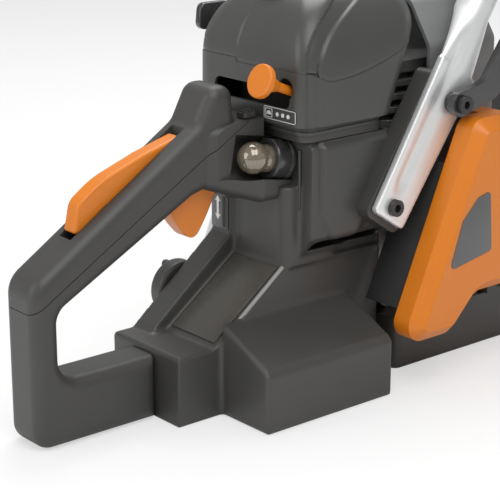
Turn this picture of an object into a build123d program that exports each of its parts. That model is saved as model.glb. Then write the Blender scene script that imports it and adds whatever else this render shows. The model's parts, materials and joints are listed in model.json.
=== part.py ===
from build123d import *
import os
from math import cos, radians, sin

# A petrol chainsaw, in millimetres. +X runs forward along the guide bar, +Y to the operator's
# left, +Z up. The origin lies on the ground plane of the base, under the crankshaft's axis.

# ---- engine: bottom end and cylinder
crank_height = 98.0
crank_throw = 16.0
bore_radius = 22.0
rod_length = 58.0
journal_radius = 7.5
web_radius = 28.0
web_inner, web_outer = 8.0, 18.0
bearing_radius, bearing_inner, bearing_width = 17.5, 20.0, 11.0
case_half_width = 42.0
case_rear, case_front = -46.0, 50.0
cylinder_rear, cylinder_front = -42.0, 42.0
cylinder_half_width = 40.0
cylinder_top = 210.0
fin_pitch, fin_gap, fin_depth = 9.0, 5.0, 14.0
piston_height = 30.0
piston_gap = 0.05
running_gap = 0.05
body_gap = 0.4

# ---- base with the oil tank
base_rear, base_front = -50.0, 102.0
base_right, base_left = -64.0, 60.0
base_height = 38.0
wall = 3.0

# ---- guide bar, chain and clutch
bar_plane = -74.0
bar_thickness = 5.0
bar_tail = 28.0
bar_middle_x, bar_middle_radius = 270.0, 29.0
bar_root_x, bar_root_radius = 75.0, 26.5
bar_nose_x, bar_nose_radius = 487.0, 25.0
sprocket_wrap_radius = 20.5
stud_first, stud_second = 52.0, 80.0
stud_radius = 4.0
chain_height = 7.0
chain_width = 6.8
drum_radius, drum_wall = 35.0, 1.6
drum_inner_y, drum_outer_y = -50.0, -66.0
spindle_radius = 6.0
clutch_cover_inner, clutch_cover_outer = -48.0, -106.0
clutch_cover_rim, cover_step_x = -84.0, 4.0

# ---- tank unit
tank_right, tank_left = -48.0, 22.0
tank_rear, tank_front = -225.0, -52.0
tank_ledge_height = 46.0
lower_wall_x = -138.0
box_front = -54.0
box_right, box_left_low, box_left_high = -62.0, 22.0, 50.0
box_top = 172.0
trough_top = 89.0

# ---- rear handle
grip_middle = -10.0
grip_width = 34.0
grip_edge = 8.0
seam_slope = 30.5
seam_gap = 0.5
loop_rear_outer, loop_rear_inner = -316.0, -297.0
lever_width, lever_slot = 12.0, 12.8

# ---- air filter cover
cover_rear, cover_right, cover_left = -138.0, -67.0, 55.0
cover_bottom = 177.0
cover_wall = 3.0

# ---- front handle and hand guard
tube_radius = 12.5
strut_face = -82.0
strut_thickness = 6.0
strut_angle = 56.5
strut_lower = (-76.0, 116.0)
handle_left_y = 112.0
handle_top_z = 280.0
pivot_x, pivot_z = -21.0, 188.0
pivot_radius = 4.0

# ---- starter
housing_outer_y = 96.0
pulley_y, pulley_radius, pulley_width = 76.0, 32.0, 12.0
rope_radius = 1.75
rope_x = -28.5
flywheel_radius = 44.0

os.makedirs("parts", exist_ok=True)


def side(y):
    """Plane across the saw at width y: sketch x is forward, sketch y is up, normal to the right."""
    return Plane.XZ.offset(-y)


# ============================================================ engine bottom end

with BuildPart() as crankcase_right:
    with BuildSketch(side(0)):
        with Locations(((case_rear + case_front) / 2, (base_height + 134) / 2)):
            RectangleRounded(case_front - case_rear, 134 - base_height, 12)
    extrude(amount=case_half_width)
    with BuildSketch(side(0)):
        with Locations((0, crank_height)):
            Circle(web_radius + 2)
    extrude(amount=bearing_inner, mode=Mode.SUBTRACT)
    with BuildSketch(side(-bearing_inner)):
        with Locations((0, crank_height)):
            Circle(bearing_radius)
    extrude(amount=bearing_width, mode=Mode.SUBTRACT)
    with BuildSketch(side(-bearing_inner)):
        with Locations((0, crank_height)):
            Circle(12)
    extrude(amount=case_half_width - bearing_inner, mode=Mode.SUBTRACT)
    with BuildSketch(Plane.XY.offset(crank_height)):
        Circle(bore_radius + 1)
    extrude(amount=134 - crank_height, mode=Mode.SUBTRACT)
crankcase_right.part.label = "crankcase_right"
export_step(crankcase_right.part, "parts/crankcase_right.step")

with BuildPart() as crankcase_left:
    add(mirror(crankcase_right.part, about=Plane.XZ))
crankcase_left.part.label = "crankcase_left"
export_step(crankcase_left.part, "parts/crankcase_left.step")

with BuildPart() as main_bearings:
    for start in (-bearing_inner, bearing_inner + bearing_width):
        with BuildSketch(side(start)):
            with Locations((0, crank_height)):
                Circle(bearing_radius)
                Circle(journal_radius + running_gap, mode=Mode.SUBTRACT)
        extrude(amount=bearing_width)
main_bearings.part.label = "main_bearings"
export_step(main_bearings.part, "parts/main_bearings.step")

with BuildPart() as crankshaft:
    for start, depth, radius in (
        (-web_inner, web_outer - web_inner, web_radius),
        (web_outer, web_outer - web_inner, web_radius),
        (-web_outer, 26, journal_radius),
        (44, 26, journal_radius),
        (-44, 40, spindle_radius),
        (64, 20, spindle_radius),
    ):
        with BuildSketch(side(start)):
            with Locations((0, crank_height)):
                Circle(radius)
        extrude(amount=depth)
crankshaft.part.label = "crankshaft"
export_step(crankshaft.part, "parts/crankshaft.step")

# The crank pin carries the rod's big end between the webs.
pin_height = crank_height + crank_throw
wrist_height = pin_height + rod_length
with BuildPart() as crank_pin:
    with BuildSketch(side(web_inner - body_gap)):
        with Locations((0, pin_height)):
            Circle(6)
    extrude(amount=2 * (web_inner - body_gap))
crank_pin.part.label = "crank_pin"
export_step(crank_pin.part, "parts/crank_pin.step")

with BuildPart() as connecting_rod:
    with BuildSketch(side(6)):
        with Locations((0, pin_height)):
            Circle(10)
        with Locations((0, wrist_height)):
            Circle(8.5)
        with Locations((0, (pin_height + wrist_height) / 2)):
            Rectangle(9, rod_length)
        with Locations((0, pin_height)):
            Circle(6, mode=Mode.SUBTRACT)
        with Locations((0, wrist_height)):
            Circle(5, mode=Mode.SUBTRACT)
    extrude(amount=12)
connecting_rod.part.label = "connecting_rod"
export_step(connecting_rod.part, "parts/connecting_rod.step")

piston_bottom = wrist_height - 12
piston_top = piston_bottom + piston_height
ring_heights = (piston_top - 6, piston_top - 11)
with BuildPart() as piston:
    with BuildSketch(Plane.XY.offset(piston_bottom)):
        Circle(bore_radius - piston_gap)
    extrude(amount=piston_height)
    with BuildSketch(Plane.XY.offset(piston_bottom)):
        Circle(bore_radius - 3)
    extrude(amount=piston_height - 5, mode=Mode.SUBTRACT)
    with BuildSketch(side(bore_radius)):
        with Locations((0, wrist_height)):
            Circle(8)
    extrude(amount=2 * bore_radius)
    with BuildSketch(Plane.XY.offset(piston_bottom)):
        Circle(60)
        Circle(bore_radius - piston_gap, mode=Mode.SUBTRACT)
    extrude(amount=piston_height, mode=Mode.SUBTRACT)
    with BuildSketch(side(6.5)):
        with Locations((0, wrist_height)):
            Circle(9.5)
    extrude(amount=13, mode=Mode.SUBTRACT)
    with BuildSketch(side(bore_radius)):
        with Locations((0, wrist_height)):
            Circle(5)
    extrude(amount=2 * bore_radius, mode=Mode.SUBTRACT)
    for height in ring_heights:
        with BuildSketch(Plane.XY.offset(height)):
            Circle(bore_radius)
            Circle(bore_radius - 2, mode=Mode.SUBTRACT)
        extrude(amount=1.5, mode=Mode.SUBTRACT)
piston.part.label = "piston"
export_step(piston.part, "parts/piston.step")

with BuildPart() as piston_rings:
    for height in ring_heights:
        with BuildSketch(Plane.XY.offset(height)):
            Circle(bore_radius - 0.02)
            Circle(bore_radius - 2, mode=Mode.SUBTRACT)
            with Locations((0, bore_radius)):
                Rectangle(0.5, 8, mode=Mode.SUBTRACT)
        extrude(amount=1.5)
piston_rings.part.label = "piston_rings"
export_step(piston_rings.part, "parts/piston_rings.step")

with BuildPart() as wrist_pin:
    with BuildSketch(side(bore_radius - 3)):
        with Locations((0, wrist_height)):
            Circle(5)
            Circle(3, mode=Mode.SUBTRACT)
    extrude(amount=2 * (bore_radius - 3))
wrist_pin.part.label = "wrist_pin"
export_step(wrist_pin.part, "parts/wrist_pin.step")

# ============================================================ cylinder, intake and exhaust

port_height = 150.0
with BuildPart() as cylinder:
    with BuildSketch(Plane.XY.offset(134)):
        RectangleRounded(cylinder_front - cylinder_rear, 2 * cylinder_half_width, 14)
    extrude(amount=cylinder_top - 134)
    fin_z = 134 + fin_pitch
    while fin_z + fin_gap < cylinder_top - 4:
        with BuildSketch(Plane.XY.offset(fin_z)):
            RectangleRounded(cylinder_front - cylinder_rear + 2, 2 * cylinder_half_width + 2, 15)
            RectangleRounded(cylinder_front - cylinder_rear - 2 * fin_depth,
                             2 * cylinder_half_width - 2 * fin_depth, 10, mode=Mode.SUBTRACT)
        extrude(amount=fin_gap, mode=Mode.SUBTRACT)
        fin_z += fin_pitch
    # Port flanges stand out through the fins, the intake at the rear and the exhaust in front.
    with BuildSketch(Plane.YZ.offset(cylinder_rear)):
        with Locations((0, port_height)):
            RectangleRounded(44, 28, 6)
    extrude(amount=cylinder_front - cylinder_rear)
    with BuildSketch(Plane.XY.offset(134)):
        Circle(bore_radius)
    extrude(amount=piston_top + 1.5 - 134, mode=Mode.SUBTRACT)
    with BuildSketch(Plane.YZ.offset(cylinder_rear)):
        with Locations((0, port_height)):
            Circle(9)
    extrude(amount=cylinder_front - cylinder_rear, mode=Mode.SUBTRACT)
    with BuildSketch(Plane.XY.offset(piston_top)):
        Circle(7)
    extrude(amount=cylinder_top - piston_top + 1, mode=Mode.SUBTRACT)
cylinder.part.label = "cylinder"
export_step(cylinder.part, "parts/cylinder.step")

with BuildPart() as spark_plug:
    with BuildSketch(Plane.XY.offset(cylinder_top - 14)):
        Circle(7)
    extrude(amount=14)
    with BuildSketch(Plane.XY.offset(cylinder_top)):
        RegularPolygon(10.9, 6)
    extrude(amount=8)
    with BuildSketch(Plane.XY.offset(cylinder_top + 8)):
        Circle(5)
    extrude(amount=18)
    with BuildSketch(Plane.XY.offset(cylinder_top + 26)):
        Circle(3)
    extrude(amount=6)
spark_plug.part.label = "spark_plug"
export_step(spark_plug.part, "parts/spark_plug.step")

with BuildPart() as plug_boot:
    with BuildSketch(Plane.XY.offset(cylinder_top + 12)):
        Circle(9)
        Circle(5, mode=Mode.SUBTRACT)
    extrude(amount=14)
    with BuildSketch(Plane.XY.offset(cylinder_top + 26)):
        Circle(9)
        Circle(3, mode=Mode.SUBTRACT)
    extrude(amount=6)
    with BuildSketch(Plane.XY.offset(cylinder_top + 32)):
        Circle(9)
    extrude(amount=4)
    fillet(plug_boot.faces().sort_by(Axis.Z)[-1].edges(), 2.5)
plug_boot.part.label = "plug_boot"
export_step(plug_boot.part, "parts/plug_boot.step")

muffler_rear, muffler_front = cylinder_front, 92.0
with BuildPart() as muffler:
    with BuildSketch(Plane.YZ.offset(muffler_rear)):
        with Locations((0, 166)):
            RectangleRounded(70, 60, 10)
    extrude(amount=muffler_front - muffler_rear)
    fillet(muffler.faces().sort_by(Axis.X)[-1].edges(), 6)
    with BuildSketch(Plane.YZ.offset(muffler_rear + 2)):
        with Locations((0, 166)):
            RectangleRounded(66, 56, 8)
    extrude(amount=muffler_front - muffler_rear - 8, mode=Mode.SUBTRACT)
    with BuildSketch(Plane.YZ.offset(muffler_rear)):
        with Locations((0, port_height)):
            Circle(9)
    extrude(amount=2, mode=Mode.SUBTRACT)
    with BuildSketch(Plane.YZ.offset(muffler_front - 12)):
        with Locations((-16, 176)):
            SlotOverall(22, 9)
    extrude(amount=14, mode=Mode.SUBTRACT)
muffler.part.label = "muffler"
export_step(muffler.part, "parts/muffler.step")

carb_rear, carb_front = -119.0, -90.0
with BuildPart() as carburettor:
    with BuildSketch(Plane.YZ.offset(carb_rear)):
        with Locations((0, port_height)):
            RectangleRounded(34, 36, 4)
    extrude(amount=carb_front - carb_rear)
    with BuildSketch(Plane.YZ.offset(carb_rear)):
        with Locations((0, port_height)):
            Circle(8)
    extrude(amount=carb_front - carb_rear, mode=Mode.SUBTRACT)
    for stand in (-9, 9):
        with BuildSketch(side(-17)):
            with Locations(((carb_rear + carb_front) / 2 + stand, port_height - 8)):
                Circle(3)
        extrude(amount=7)
carburettor.part.label = "carburettor"
export_step(carburettor.part, "parts/carburettor.step")

with BuildPart() as intake_boot:
    with BuildSketch(Plane.YZ.offset(carb_front)):
        with Locations((0, port_height)):
            Circle(13)
    extrude(amount=cylinder_rear - carb_front)
    for ring_x in (carb_front, cylinder_rear - 5):
        with BuildSketch(Plane.YZ.offset(ring_x)):
            with Locations((0, port_height)):
                Circle(16 if ring_x > carb_front else 15)
        extrude(amount=5)
    with BuildSketch(Plane.YZ.offset(carb_front)):
        with Locations((0, port_height)):
            Circle(9)
    extrude(amount=cylinder_rear - carb_front, mode=Mode.SUBTRACT)
intake_boot.part.label = "intake_boot"
export_step(intake_boot.part, "parts/intake_boot.step")

# Grey shroud that guides cooling air over the fins.
shroud_rear, shroud_front = -20.0, 45.6
shroud_right, shroud_left = -60.0, 54.0
shroud_bottom, shroud_top = 136.0, 252.0
with BuildPart() as shroud_shell:
    with BuildSketch(Plane.YZ.offset(shroud_rear)):
        with BuildLine():
            FilletPolyline(
                (shroud_right, shroud_bottom), (shroud_right, 222), (-40, shroud_top),
                (34, shroud_top), (shroud_left, 222), (shroud_left, shroud_bottom), radius=10)
            Line((shroud_left, shroud_bottom), (shroud_right, shroud_bottom))
        make_face()
    extrude(amount=shroud_front - shroud_rear)
    fillet(shroud_shell.faces().filter_by(Axis.X).sort_by(Axis.X)[-1].edges().filter_by(
        lambda edge: edge.center().Z > shroud_bottom + 1), 4)
    with BuildSketch(Plane.YZ.offset(shroud_rear)):
        with BuildLine():
            FilletPolyline(
                (shroud_right + wall, shroud_bottom), (shroud_right + wall, 221),
                (-39, shroud_top - wall), (33, shroud_top - wall), (shroud_left - wall, 221),
                (shroud_left - wall, shroud_bottom), radius=8)
            Line((shroud_left - wall, shroud_bottom), (shroud_right + wall, shroud_bottom))
        make_face()
    extrude(amount=shroud_front - shroud_rear - wall, mode=Mode.SUBTRACT)
    with BuildSketch(Plane.YZ.offset(shroud_front - wall - 1)):
        with Locations((0, 168)):
            RectangleRounded(76, 64 + 2, 8)
    extrude(amount=wall + 2, mode=Mode.SUBTRACT)
    with BuildSketch(Plane.XY.offset(shroud_top - wall - 1)):
        with Locations((0, 0)):
            Circle(12)
        with Locations((24, -16), (24, 0), (24, 16)):
            SlotOverall(26, 5, rotation=0)
    extrude(amount=wall + 2, mode=Mode.SUBTRACT)
    # The left side stops above the coil and the starter.
    with BuildSketch(Plane.XY.offset(shroud_bottom)):
        with Locations((12, 52)):
            Rectangle(80, 23)
    extrude(amount=26, mode=Mode.SUBTRACT)

# ============================================================ oil pump, clutch, bar and chain

with BuildPart() as oil_pump:
    with BuildSketch(side(-case_half_width)):
        with Locations((0, crank_height)):
            RectangleRounded(44, 30, 6)
            Circle(journal_radius + 1.5, mode=Mode.SUBTRACT)
    extrude(amount=5.5)
oil_pump.part.label = "oil_pump"
export_step(oil_pump.part, "parts/oil_pump.step")

shoe_outer, shoe_inner = drum_radius - drum_wall - 0.9, 19.4
hub_arm = shoe_outer - 2.5
with BuildPart() as clutch_hub:
    with BuildSketch(side(-55)):
        with Locations((0, crank_height)):
            Circle(11)
            for turn in range(3):
                with PolarLocations(0, 1, start_angle=90 + 120 * turn):
                    with Locations((hub_arm / 2, 0)):
                        Rectangle(hub_arm, 7)
            Circle(spindle_radius, mode=Mode.SUBTRACT)
    extrude(amount=7)
clutch_hub.part.label = "clutch_hub"
export_step(clutch_hub.part, "parts/clutch_hub.step")

with BuildPart() as clutch_shoes:
    with BuildSketch(side(-51)):
        with Locations((0, crank_height)):
            Circle(shoe_outer)
            Circle(shoe_inner, mode=Mode.SUBTRACT)
            for turn in range(3):
                with PolarLocations(0, 1, start_angle=90 + 120 * turn):
                    with Locations((20, 0)):
                        Rectangle(50, 9, mode=Mode.SUBTRACT)
    extrude(amount=11)
clutch_shoes.part.label = "clutch_shoes"
export_step(clutch_shoes.part, "parts/clutch_shoes.step")

with BuildPart() as clutch_spring:
    with BuildSketch(Plane.XY.offset(crank_height)):
        with Locations((17.6, -53)):
            Circle(1.5)
    revolve(axis=Axis((0, 0, crank_height), (0, 1, 0)), revolution_arc=360)
clutch_spring.part.label = "clutch_spring"
export_step(clutch_spring.part, "parts/clutch_spring.step")

sprocket_radius, sprocket_width = 19.6, 8.0
sprocket_right = bar_plane - sprocket_width / 2
with BuildPart() as clutch_drum:
    with BuildSketch(side(drum_inner_y)):
        with Locations((0, crank_height)):
            Circle(drum_radius)
    extrude(amount=drum_inner_y - drum_outer_y)
    with BuildSketch(side(drum_inner_y)):
        with Locations((0, crank_height)):
            Circle(drum_radius - drum_wall)
    extrude(amount=drum_inner_y - drum_outer_y - 2, mode=Mode.SUBTRACT)
    with BuildSketch(side(drum_outer_y)):
        with Locations((0, crank_height)):
            Circle(10)
    extrude(amount=drum_outer_y - sprocket_right)
    with BuildSketch(side(drum_inner_y)):
        with Locations((0, crank_height)):
            Circle(spindle_radius + running_gap)
    extrude(amount=drum_inner_y - sprocket_right, mode=Mode.SUBTRACT)
clutch_drum.part.label = "clutch_drum"
export_step(clutch_drum.part, "parts/clutch_drum.step")

with BuildPart() as rim_sprocket:
    with BuildSketch(side(bar_plane + sprocket_width / 2)):
        with Locations((0, crank_height)):
            Circle(sprocket_radius)
            with PolarLocations(sprocket_radius + 1.5, 7):
                Circle(4.5, mode=Mode.SUBTRACT)
            Circle(10, mode=Mode.SUBTRACT)
    extrude(amount=sprocket_width)
rim_sprocket.part.label = "rim_sprocket"
export_step(rim_sprocket.part, "parts/rim_sprocket.step")

with BuildPart() as brake_band:
    with BuildSketch(side(-53)):
        with Locations((0, crank_height)):
            Circle(drum_radius + body_gap + 1)
            Circle(drum_radius + body_gap, mode=Mode.SUBTRACT)
            with Locations((30, 24)):
                Rectangle(18, 12, rotation=38, mode=Mode.SUBTRACT)
    extrude(amount=10)
    with BuildSketch(side(-53)):
        with Locations((-drum_radius - body_gap - 4, crank_height + 2)):
            Rectangle(7, 6)
    extrude(amount=10)
brake_band.part.label = "brake_band"
export_step(brake_band.part, "parts/brake_band.step")


def bar_outline(grow, tail_radius):
    """Hull through the drive end, the root, the middle and the nose, grown outward."""
    with BuildSketch() as outline:
        for x, radius in (
            (0, tail_radius),
            (bar_root_x, bar_root_radius),
            (bar_middle_x, bar_middle_radius),
            (bar_nose_x, bar_nose_radius),
        ):
            with Locations((x, crank_height)):
                Circle(radius + grow)
        make_hull()
    return outline.sketch


chain_gap = 0.4
with BuildPart() as guide_bar:
    with BuildSketch(side(bar_plane + bar_thickness / 2)):
        add(bar_outline(0, sprocket_wrap_radius))
        with Locations((bar_tail - 50, crank_height)):
            Rectangle(100, 100, mode=Mode.SUBTRACT)
        with Locations(((stud_first + stud_second) / 2 - 4, crank_height)):
            SlotOverall(stud_second - stud_first + 30, 2 * stud_radius + 1, mode=Mode.SUBTRACT)
        with Locations((stud_first - 12, crank_height + 15), (stud_first - 12, crank_height - 15)):
            Circle(3.5, mode=Mode.SUBTRACT)
    extrude(amount=bar_thickness)
    with BuildSketch(side(bar_plane + 0.8)):
        add(bar_outline(1, sprocket_wrap_radius))
        add(bar_outline(-6, sprocket_wrap_radius), mode=Mode.SUBTRACT)
    extrude(amount=1.6, mode=Mode.SUBTRACT)
guide_bar.part.label = "guide_bar"
export_step(guide_bar.part, "parts/guide_bar.step")

with BuildPart() as saw_chain:
    with BuildSketch(side(bar_plane + chain_width / 2)):
        add(bar_outline(chain_gap + chain_height, sprocket_wrap_radius))
        add(bar_outline(chain_gap, sprocket_wrap_radius), mode=Mode.SUBTRACT)
    extrude(amount=chain_width)
saw_chain.part.label = "saw_chain"
export_step(saw_chain.part, "parts/saw_chain.step")

mount_rear, mount_front = 42.0, 104.0
bar_mount_face = bar_plane + bar_thickness / 2
with BuildPart() as bar_mount:
    with BuildSketch(side(-case_half_width)):
        with Locations(((mount_rear + mount_front) / 2, crank_height)):
            RectangleRounded(mount_front - mount_rear, 42, 5)
    extrude(amount=-case_half_width - bar_mount_face)
    with BuildSketch(side(-case_half_width)):
        with Locations((stud_first, crank_height), (stud_second, crank_height)):
            Circle(stud_radius)
    extrude(amount=-case_half_width - bar_mount_face, mode=Mode.SUBTRACT)
bar_mount.part.label = "bar_mount"
export_step(bar_mount.part, "parts/bar_mount.step")

with BuildPart() as bar_studs:
    with BuildSketch(side(-case_half_width)):
        with Locations((stud_first, crank_height), (stud_second, crank_height)):
            Circle(stud_radius)
    extrude(amount=72)
bar_studs.part.label = "bar_studs"
export_step(bar_studs.part, "parts/bar_studs.step")

with BuildPart() as spike_bumper:
    with BuildSketch(side(-case_half_width + 3)):
        with BuildLine():
            Polyline(
                (58, 70), (104, 66), (122, 68), (112, 78), (126, 84), (113, 92), (127, 99),
                (113, 107), (125, 115), (112, 122), (120, 132), (104, 128), (58, 124), close=True)
        make_face()
    extrude(amount=3)
    chamfer(spike_bumper.edges().filter_by(Axis.Y).group_by(Axis.X)[-1], 0.8)
spike_bumper.part.label = "spike_bumper"
export_step(spike_bumper.part, "parts/spike_bumper.step")

# ---- orange cover over the clutch, open towards the engine and where the bar leaves it.
cover_outline = (
    (-78, 34), (-15, 178), (22, 178), (70, 152), (102, 124), (102, 58), (-10, 58), (-34, 34),
)
cover_radii = (12, 12, 20, 30, 14, 14, 18, 12)
with BuildPart() as clutch_cover:
    with BuildSketch(side(clutch_cover_inner)):
        with BuildLine():
            FilletPolyline(*cover_outline, radius=list(cover_radii), close=True)
        make_face()
    extrude(amount=clutch_cover_inner - clutch_cover_outer)
    chamfer(clutch_cover.faces().sort_by(Axis.Y)[0].edges(), 8)
    with BuildSketch(side(clutch_cover_inner)):
        with BuildLine():
            FilletPolyline(*cover_outline, radius=list(cover_radii), close=True)
        make_face()
        offset(amount=-wall, mode=Mode.REPLACE)
    extrude(amount=clutch_cover_inner - clutch_cover_outer - 11, mode=Mode.SUBTRACT)
    with BuildSketch(side(clutch_cover_outer + 12)):
        with BuildLine():
            FilletPolyline(*cover_outline, radius=list(cover_radii), close=True)
        make_face()
        offset(amount=-11, mode=Mode.REPLACE)
    extrude(amount=12 - wall, mode=Mode.SUBTRACT)
    with BuildSketch(Plane.YZ.offset(80)):
        with Locations((-72, crank_height - 0.5)):
            Rectangle(48, 73)
    extrude(amount=40, mode=Mode.SUBTRACT)
    # The rear of the cover is shallow, and its top stays clear of the shroud.
    with BuildSketch(side(clutch_cover_inner)):
        with Locations((cover_step_x - 50, crank_height)):
            Rectangle(100, 200)
    extrude(amount=clutch_cover_inner - clutch_cover_rim, mode=Mode.SUBTRACT)
    with BuildSketch(side(clutch_cover_inner)):
        with Locations((50, 134 + 30)):
            Rectangle(100, 60)
    extrude(amount=clutch_cover_inner - shroud_right + 2, mode=Mode.SUBTRACT)
    with BuildSketch(side(bar_plane - bar_thickness / 2)):
        with Locations((stud_first, crank_height), (stud_second, crank_height)):
            Circle(10)
    extrude(amount=bar_plane - bar_thickness / 2 - clutch_cover_outer - 1)
    with BuildSketch(side(bar_plane - bar_thickness / 2)):
        with Locations((stud_first, crank_height), (stud_second, crank_height)):
            Circle(stud_radius + 0.5)
    extrude(amount=40, mode=Mode.SUBTRACT)
clutch_cover.part.label = "clutch_cover"
export_step(clutch_cover.part, "parts/clutch_cover.step")

with BuildPart() as bar_nuts:
    with BuildSketch(side(clutch_cover_outer)):
        with Locations((stud_first, crank_height), (stud_second, crank_height)):
            RegularPolygon(8.5, 6)
            Circle(stud_radius, mode=Mode.SUBTRACT)
    extrude(amount=7)
bar_nuts.part.label = "bar_nuts"
export_step(bar_nuts.part, "parts/bar_nuts.step")

# ============================================================ base with the oil tank

with BuildPart() as engine_base:
    with BuildSketch(Plane.XY):
        with Locations(((base_rear + base_front) / 2, (base_right + base_left) / 2)):
            RectangleRounded(base_front - base_rear, base_left - base_right, 8)
    extrude(amount=base_height)
    chamfer(engine_base.faces().sort_by(Axis.Z)[0].edges(), 2)
    with BuildSketch(Plane.XY.offset(5)):
        with Locations((54, -2)):
            RectangleRounded(86, 112, 6)
    extrude(amount=base_height - 9, mode=Mode.SUBTRACT)
    with BuildSketch(Plane.YZ.offset(base_front)):
        with Locations((34, 19)):
            Circle(14)
    extrude(amount=-8, mode=Mode.SUBTRACT)
    with BuildSketch(Plane.YZ.offset(base_front)):
        with Locations((34, 19)):
            Circle(16)
            Circle(11.4, mode=Mode.SUBTRACT)
    extrude(amount=-8)
engine_base.part.label = "engine_base"
export_step(engine_base.part, "parts/engine_base.step")

with BuildPart() as oil_cap:
    with BuildSketch(Plane.YZ.offset(base_front + body_gap)):
        with Locations((34, 19)):
            Circle(15)
    extrude(amount=7)
    fillet(oil_cap.faces().sort_by(Axis.X)[-1].edges(), 1.5)
    with BuildSketch(Plane.YZ.offset(base_front + body_gap + 7)):
        with Locations((34, 19)):
            Rectangle(24, 5)
    extrude(amount=4)
    with BuildSketch(Plane.YZ.offset(base_front - 9)):
        with Locations((34, 19)):
            Circle(11)
    extrude(amount=9 + body_gap)
oil_cap.part.label = "oil_cap"
export_step(oil_cap.part, "parts/oil_cap.step")

with BuildPart() as chain_catcher:
    with BuildSketch(Plane.XY.offset(base_height)):
        with Locations((46, -62)):
            Rectangle(14, 10)
    extrude(amount=12)
    with BuildSketch(side(-58)):
        with Locations((46, 49)):
            Circle(5.5)
    extrude(amount=26)
chain_catcher.part.label = "chain_catcher"
export_step(chain_catcher.part, "parts/chain_catcher.step")

# ============================================================ tank unit and carburettor box

notch_x, notch_floor, notch_y = -126.0, 142.0, -17.0
wall_top_y = 2.0
flare_z = 104.0
cap_x, cap_z, cap_neck_radius = -166.0, 62.0, 11.4
with BuildPart() as tank_housing:
    with BuildSketch(side(tank_left)):
        with BuildLine():
            FilletPolyline(
                (tank_rear, 0), (tank_rear, tank_ledge_height), (-196, tank_ledge_height),
                (lower_wall_x, trough_top), (tank_front, trough_top), (tank_front, 0),
                radius=[2, 6, 2, 2])
            Line((tank_front, 0), (tank_rear, 0))
        make_face()
    extrude(amount=tank_left - tank_right)
    # The left wall stands above the sloping floor and carries the upright rear plate.
    with BuildSketch(side(tank_left)):
        with BuildLine():
            Polyline(
                (-215, 40), (-205, 50), (-142, 101), (-142, 131), (lower_wall_x + 2, 131),
                (lower_wall_x + 2, 40), close=True)
        make_face()
    extrude(amount=tank_left - wall_top_y)
    # Box for the carburettor, wider above the flare line.
    with BuildSketch(Plane.XY.offset(trough_top - 1)):
        with BuildLine():
            FilletPolyline(
                (box_front, box_left_low), (lower_wall_x, box_left_low), (lower_wall_x, -50),
                (box_front, -50), radius=[0.5, 7])
            Line((box_front, -50), (box_front, box_left_low))
        make_face()
    extrude(amount=box_top - trough_top + 1)
    with BuildSketch(Plane.YZ.offset(notch_x)):
        with BuildLine():
            Polyline((-50, 94), (box_right, flare_z + 4), (box_right, box_top), (-40, box_top),
                     (-40, 94), close=True)
        make_face()
    extrude(amount=box_front - notch_x)
    with BuildSketch(Plane.YZ.offset(lower_wall_x)):
        with BuildLine():
            Polyline((10, 138), (box_left_low, 138), (box_left_high, 152),
                     (box_left_high, box_top), (10, box_top), close=True)
        make_face()
    extrude(amount=72)
    # Cut-back for the primer, open carburettor space, inlet hole and fuel space.
    with BuildSketch(Plane.XY.offset(notch_floor)):
        with Locations(((lower_wall_x + notch_x) / 2 - 5, (notch_y - 80) / 2)):
            Rectangle(notch_x - lower_wall_x + 10, 80 + notch_y)
    extrude(amount=box_top - notch_floor + 1, mode=Mode.SUBTRACT)
    with BuildSketch(Plane.XY.offset(98)):
        with Locations(((notch_x + box_front) / 2, -20)):
            RectangleRounded(box_front - notch_x - 8, 76, 5)
    extrude(amount=box_top - 97, mode=Mode.SUBTRACT)
    with BuildSketch(Plane.YZ.offset(box_front - 6)):
        with Locations((0, port_height)):
            Circle(15)
    extrude(amount=8, mode=Mode.SUBTRACT)
    with BuildSketch(side(tank_left - 5)):
        with BuildLine():
            Polyline(
                (tank_rear + 5, 6), (tank_rear + 5, tank_ledge_height - 5), (-196, 41),
                (lower_wall_x, 83), (tank_front - 5, 83), (tank_front - 5, 6), close=True)
        make_face()
    extrude(amount=tank_left - tank_right - 10, mode=Mode.SUBTRACT)
    # Right shoulder that falls away to the side, and the foot of the front handle.
    with BuildSketch(Plane.YZ.offset(-190)):
        with BuildLine():
            Polyline((tank_right, 0), (-94, 0), (-94, 38), (-90, 42), (-60, 56),
                     (tank_right, 61.5), close=True)
        make_face()
    extrude(amount=108)
    with BuildSketch(Plane.XY):
        with Locations(((-112 + tank_front) / 2, (tank_left + 58) / 2)):
            Rectangle(112 + tank_front, 58 - tank_left)
    extrude(amount=36)
    # Filler neck on the left.
    with BuildSketch(side(tank_left + 5)):
        with Locations((cap_x, cap_z)):
            Circle(cap_neck_radius + 0.6)
    extrude(amount=16, mode=Mode.SUBTRACT)
tank_housing.part.label = "tank_housing"
export_step(tank_housing.part, "parts/tank_housing.step")

with BuildPart() as fuel_cap:
    with BuildSketch(side(tank_left + body_gap)):
        with Locations((cap_x, cap_z)):
            Circle(cap_neck_radius)
    extrude(amount=10)
    with BuildSketch(side(tank_left + body_gap + 12)):
        with Locations((cap_x, cap_z)):
            Circle(19.5)
    extrude(amount=12)
    fillet(fuel_cap.edges().filter_by(GeomType.CIRCLE).group_by(
        lambda edge: edge.radius)[-1], 2.5)
    with BuildSketch(side(tank_left + body_gap + 20)):
        with Locations((cap_x, cap_z)):
            RectangleRounded(6, 33, 2.5)
    extrude(amount=8)
fuel_cap.part.label = "fuel_cap"
export_step(fuel_cap.part, "parts/fuel_cap.step")

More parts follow.
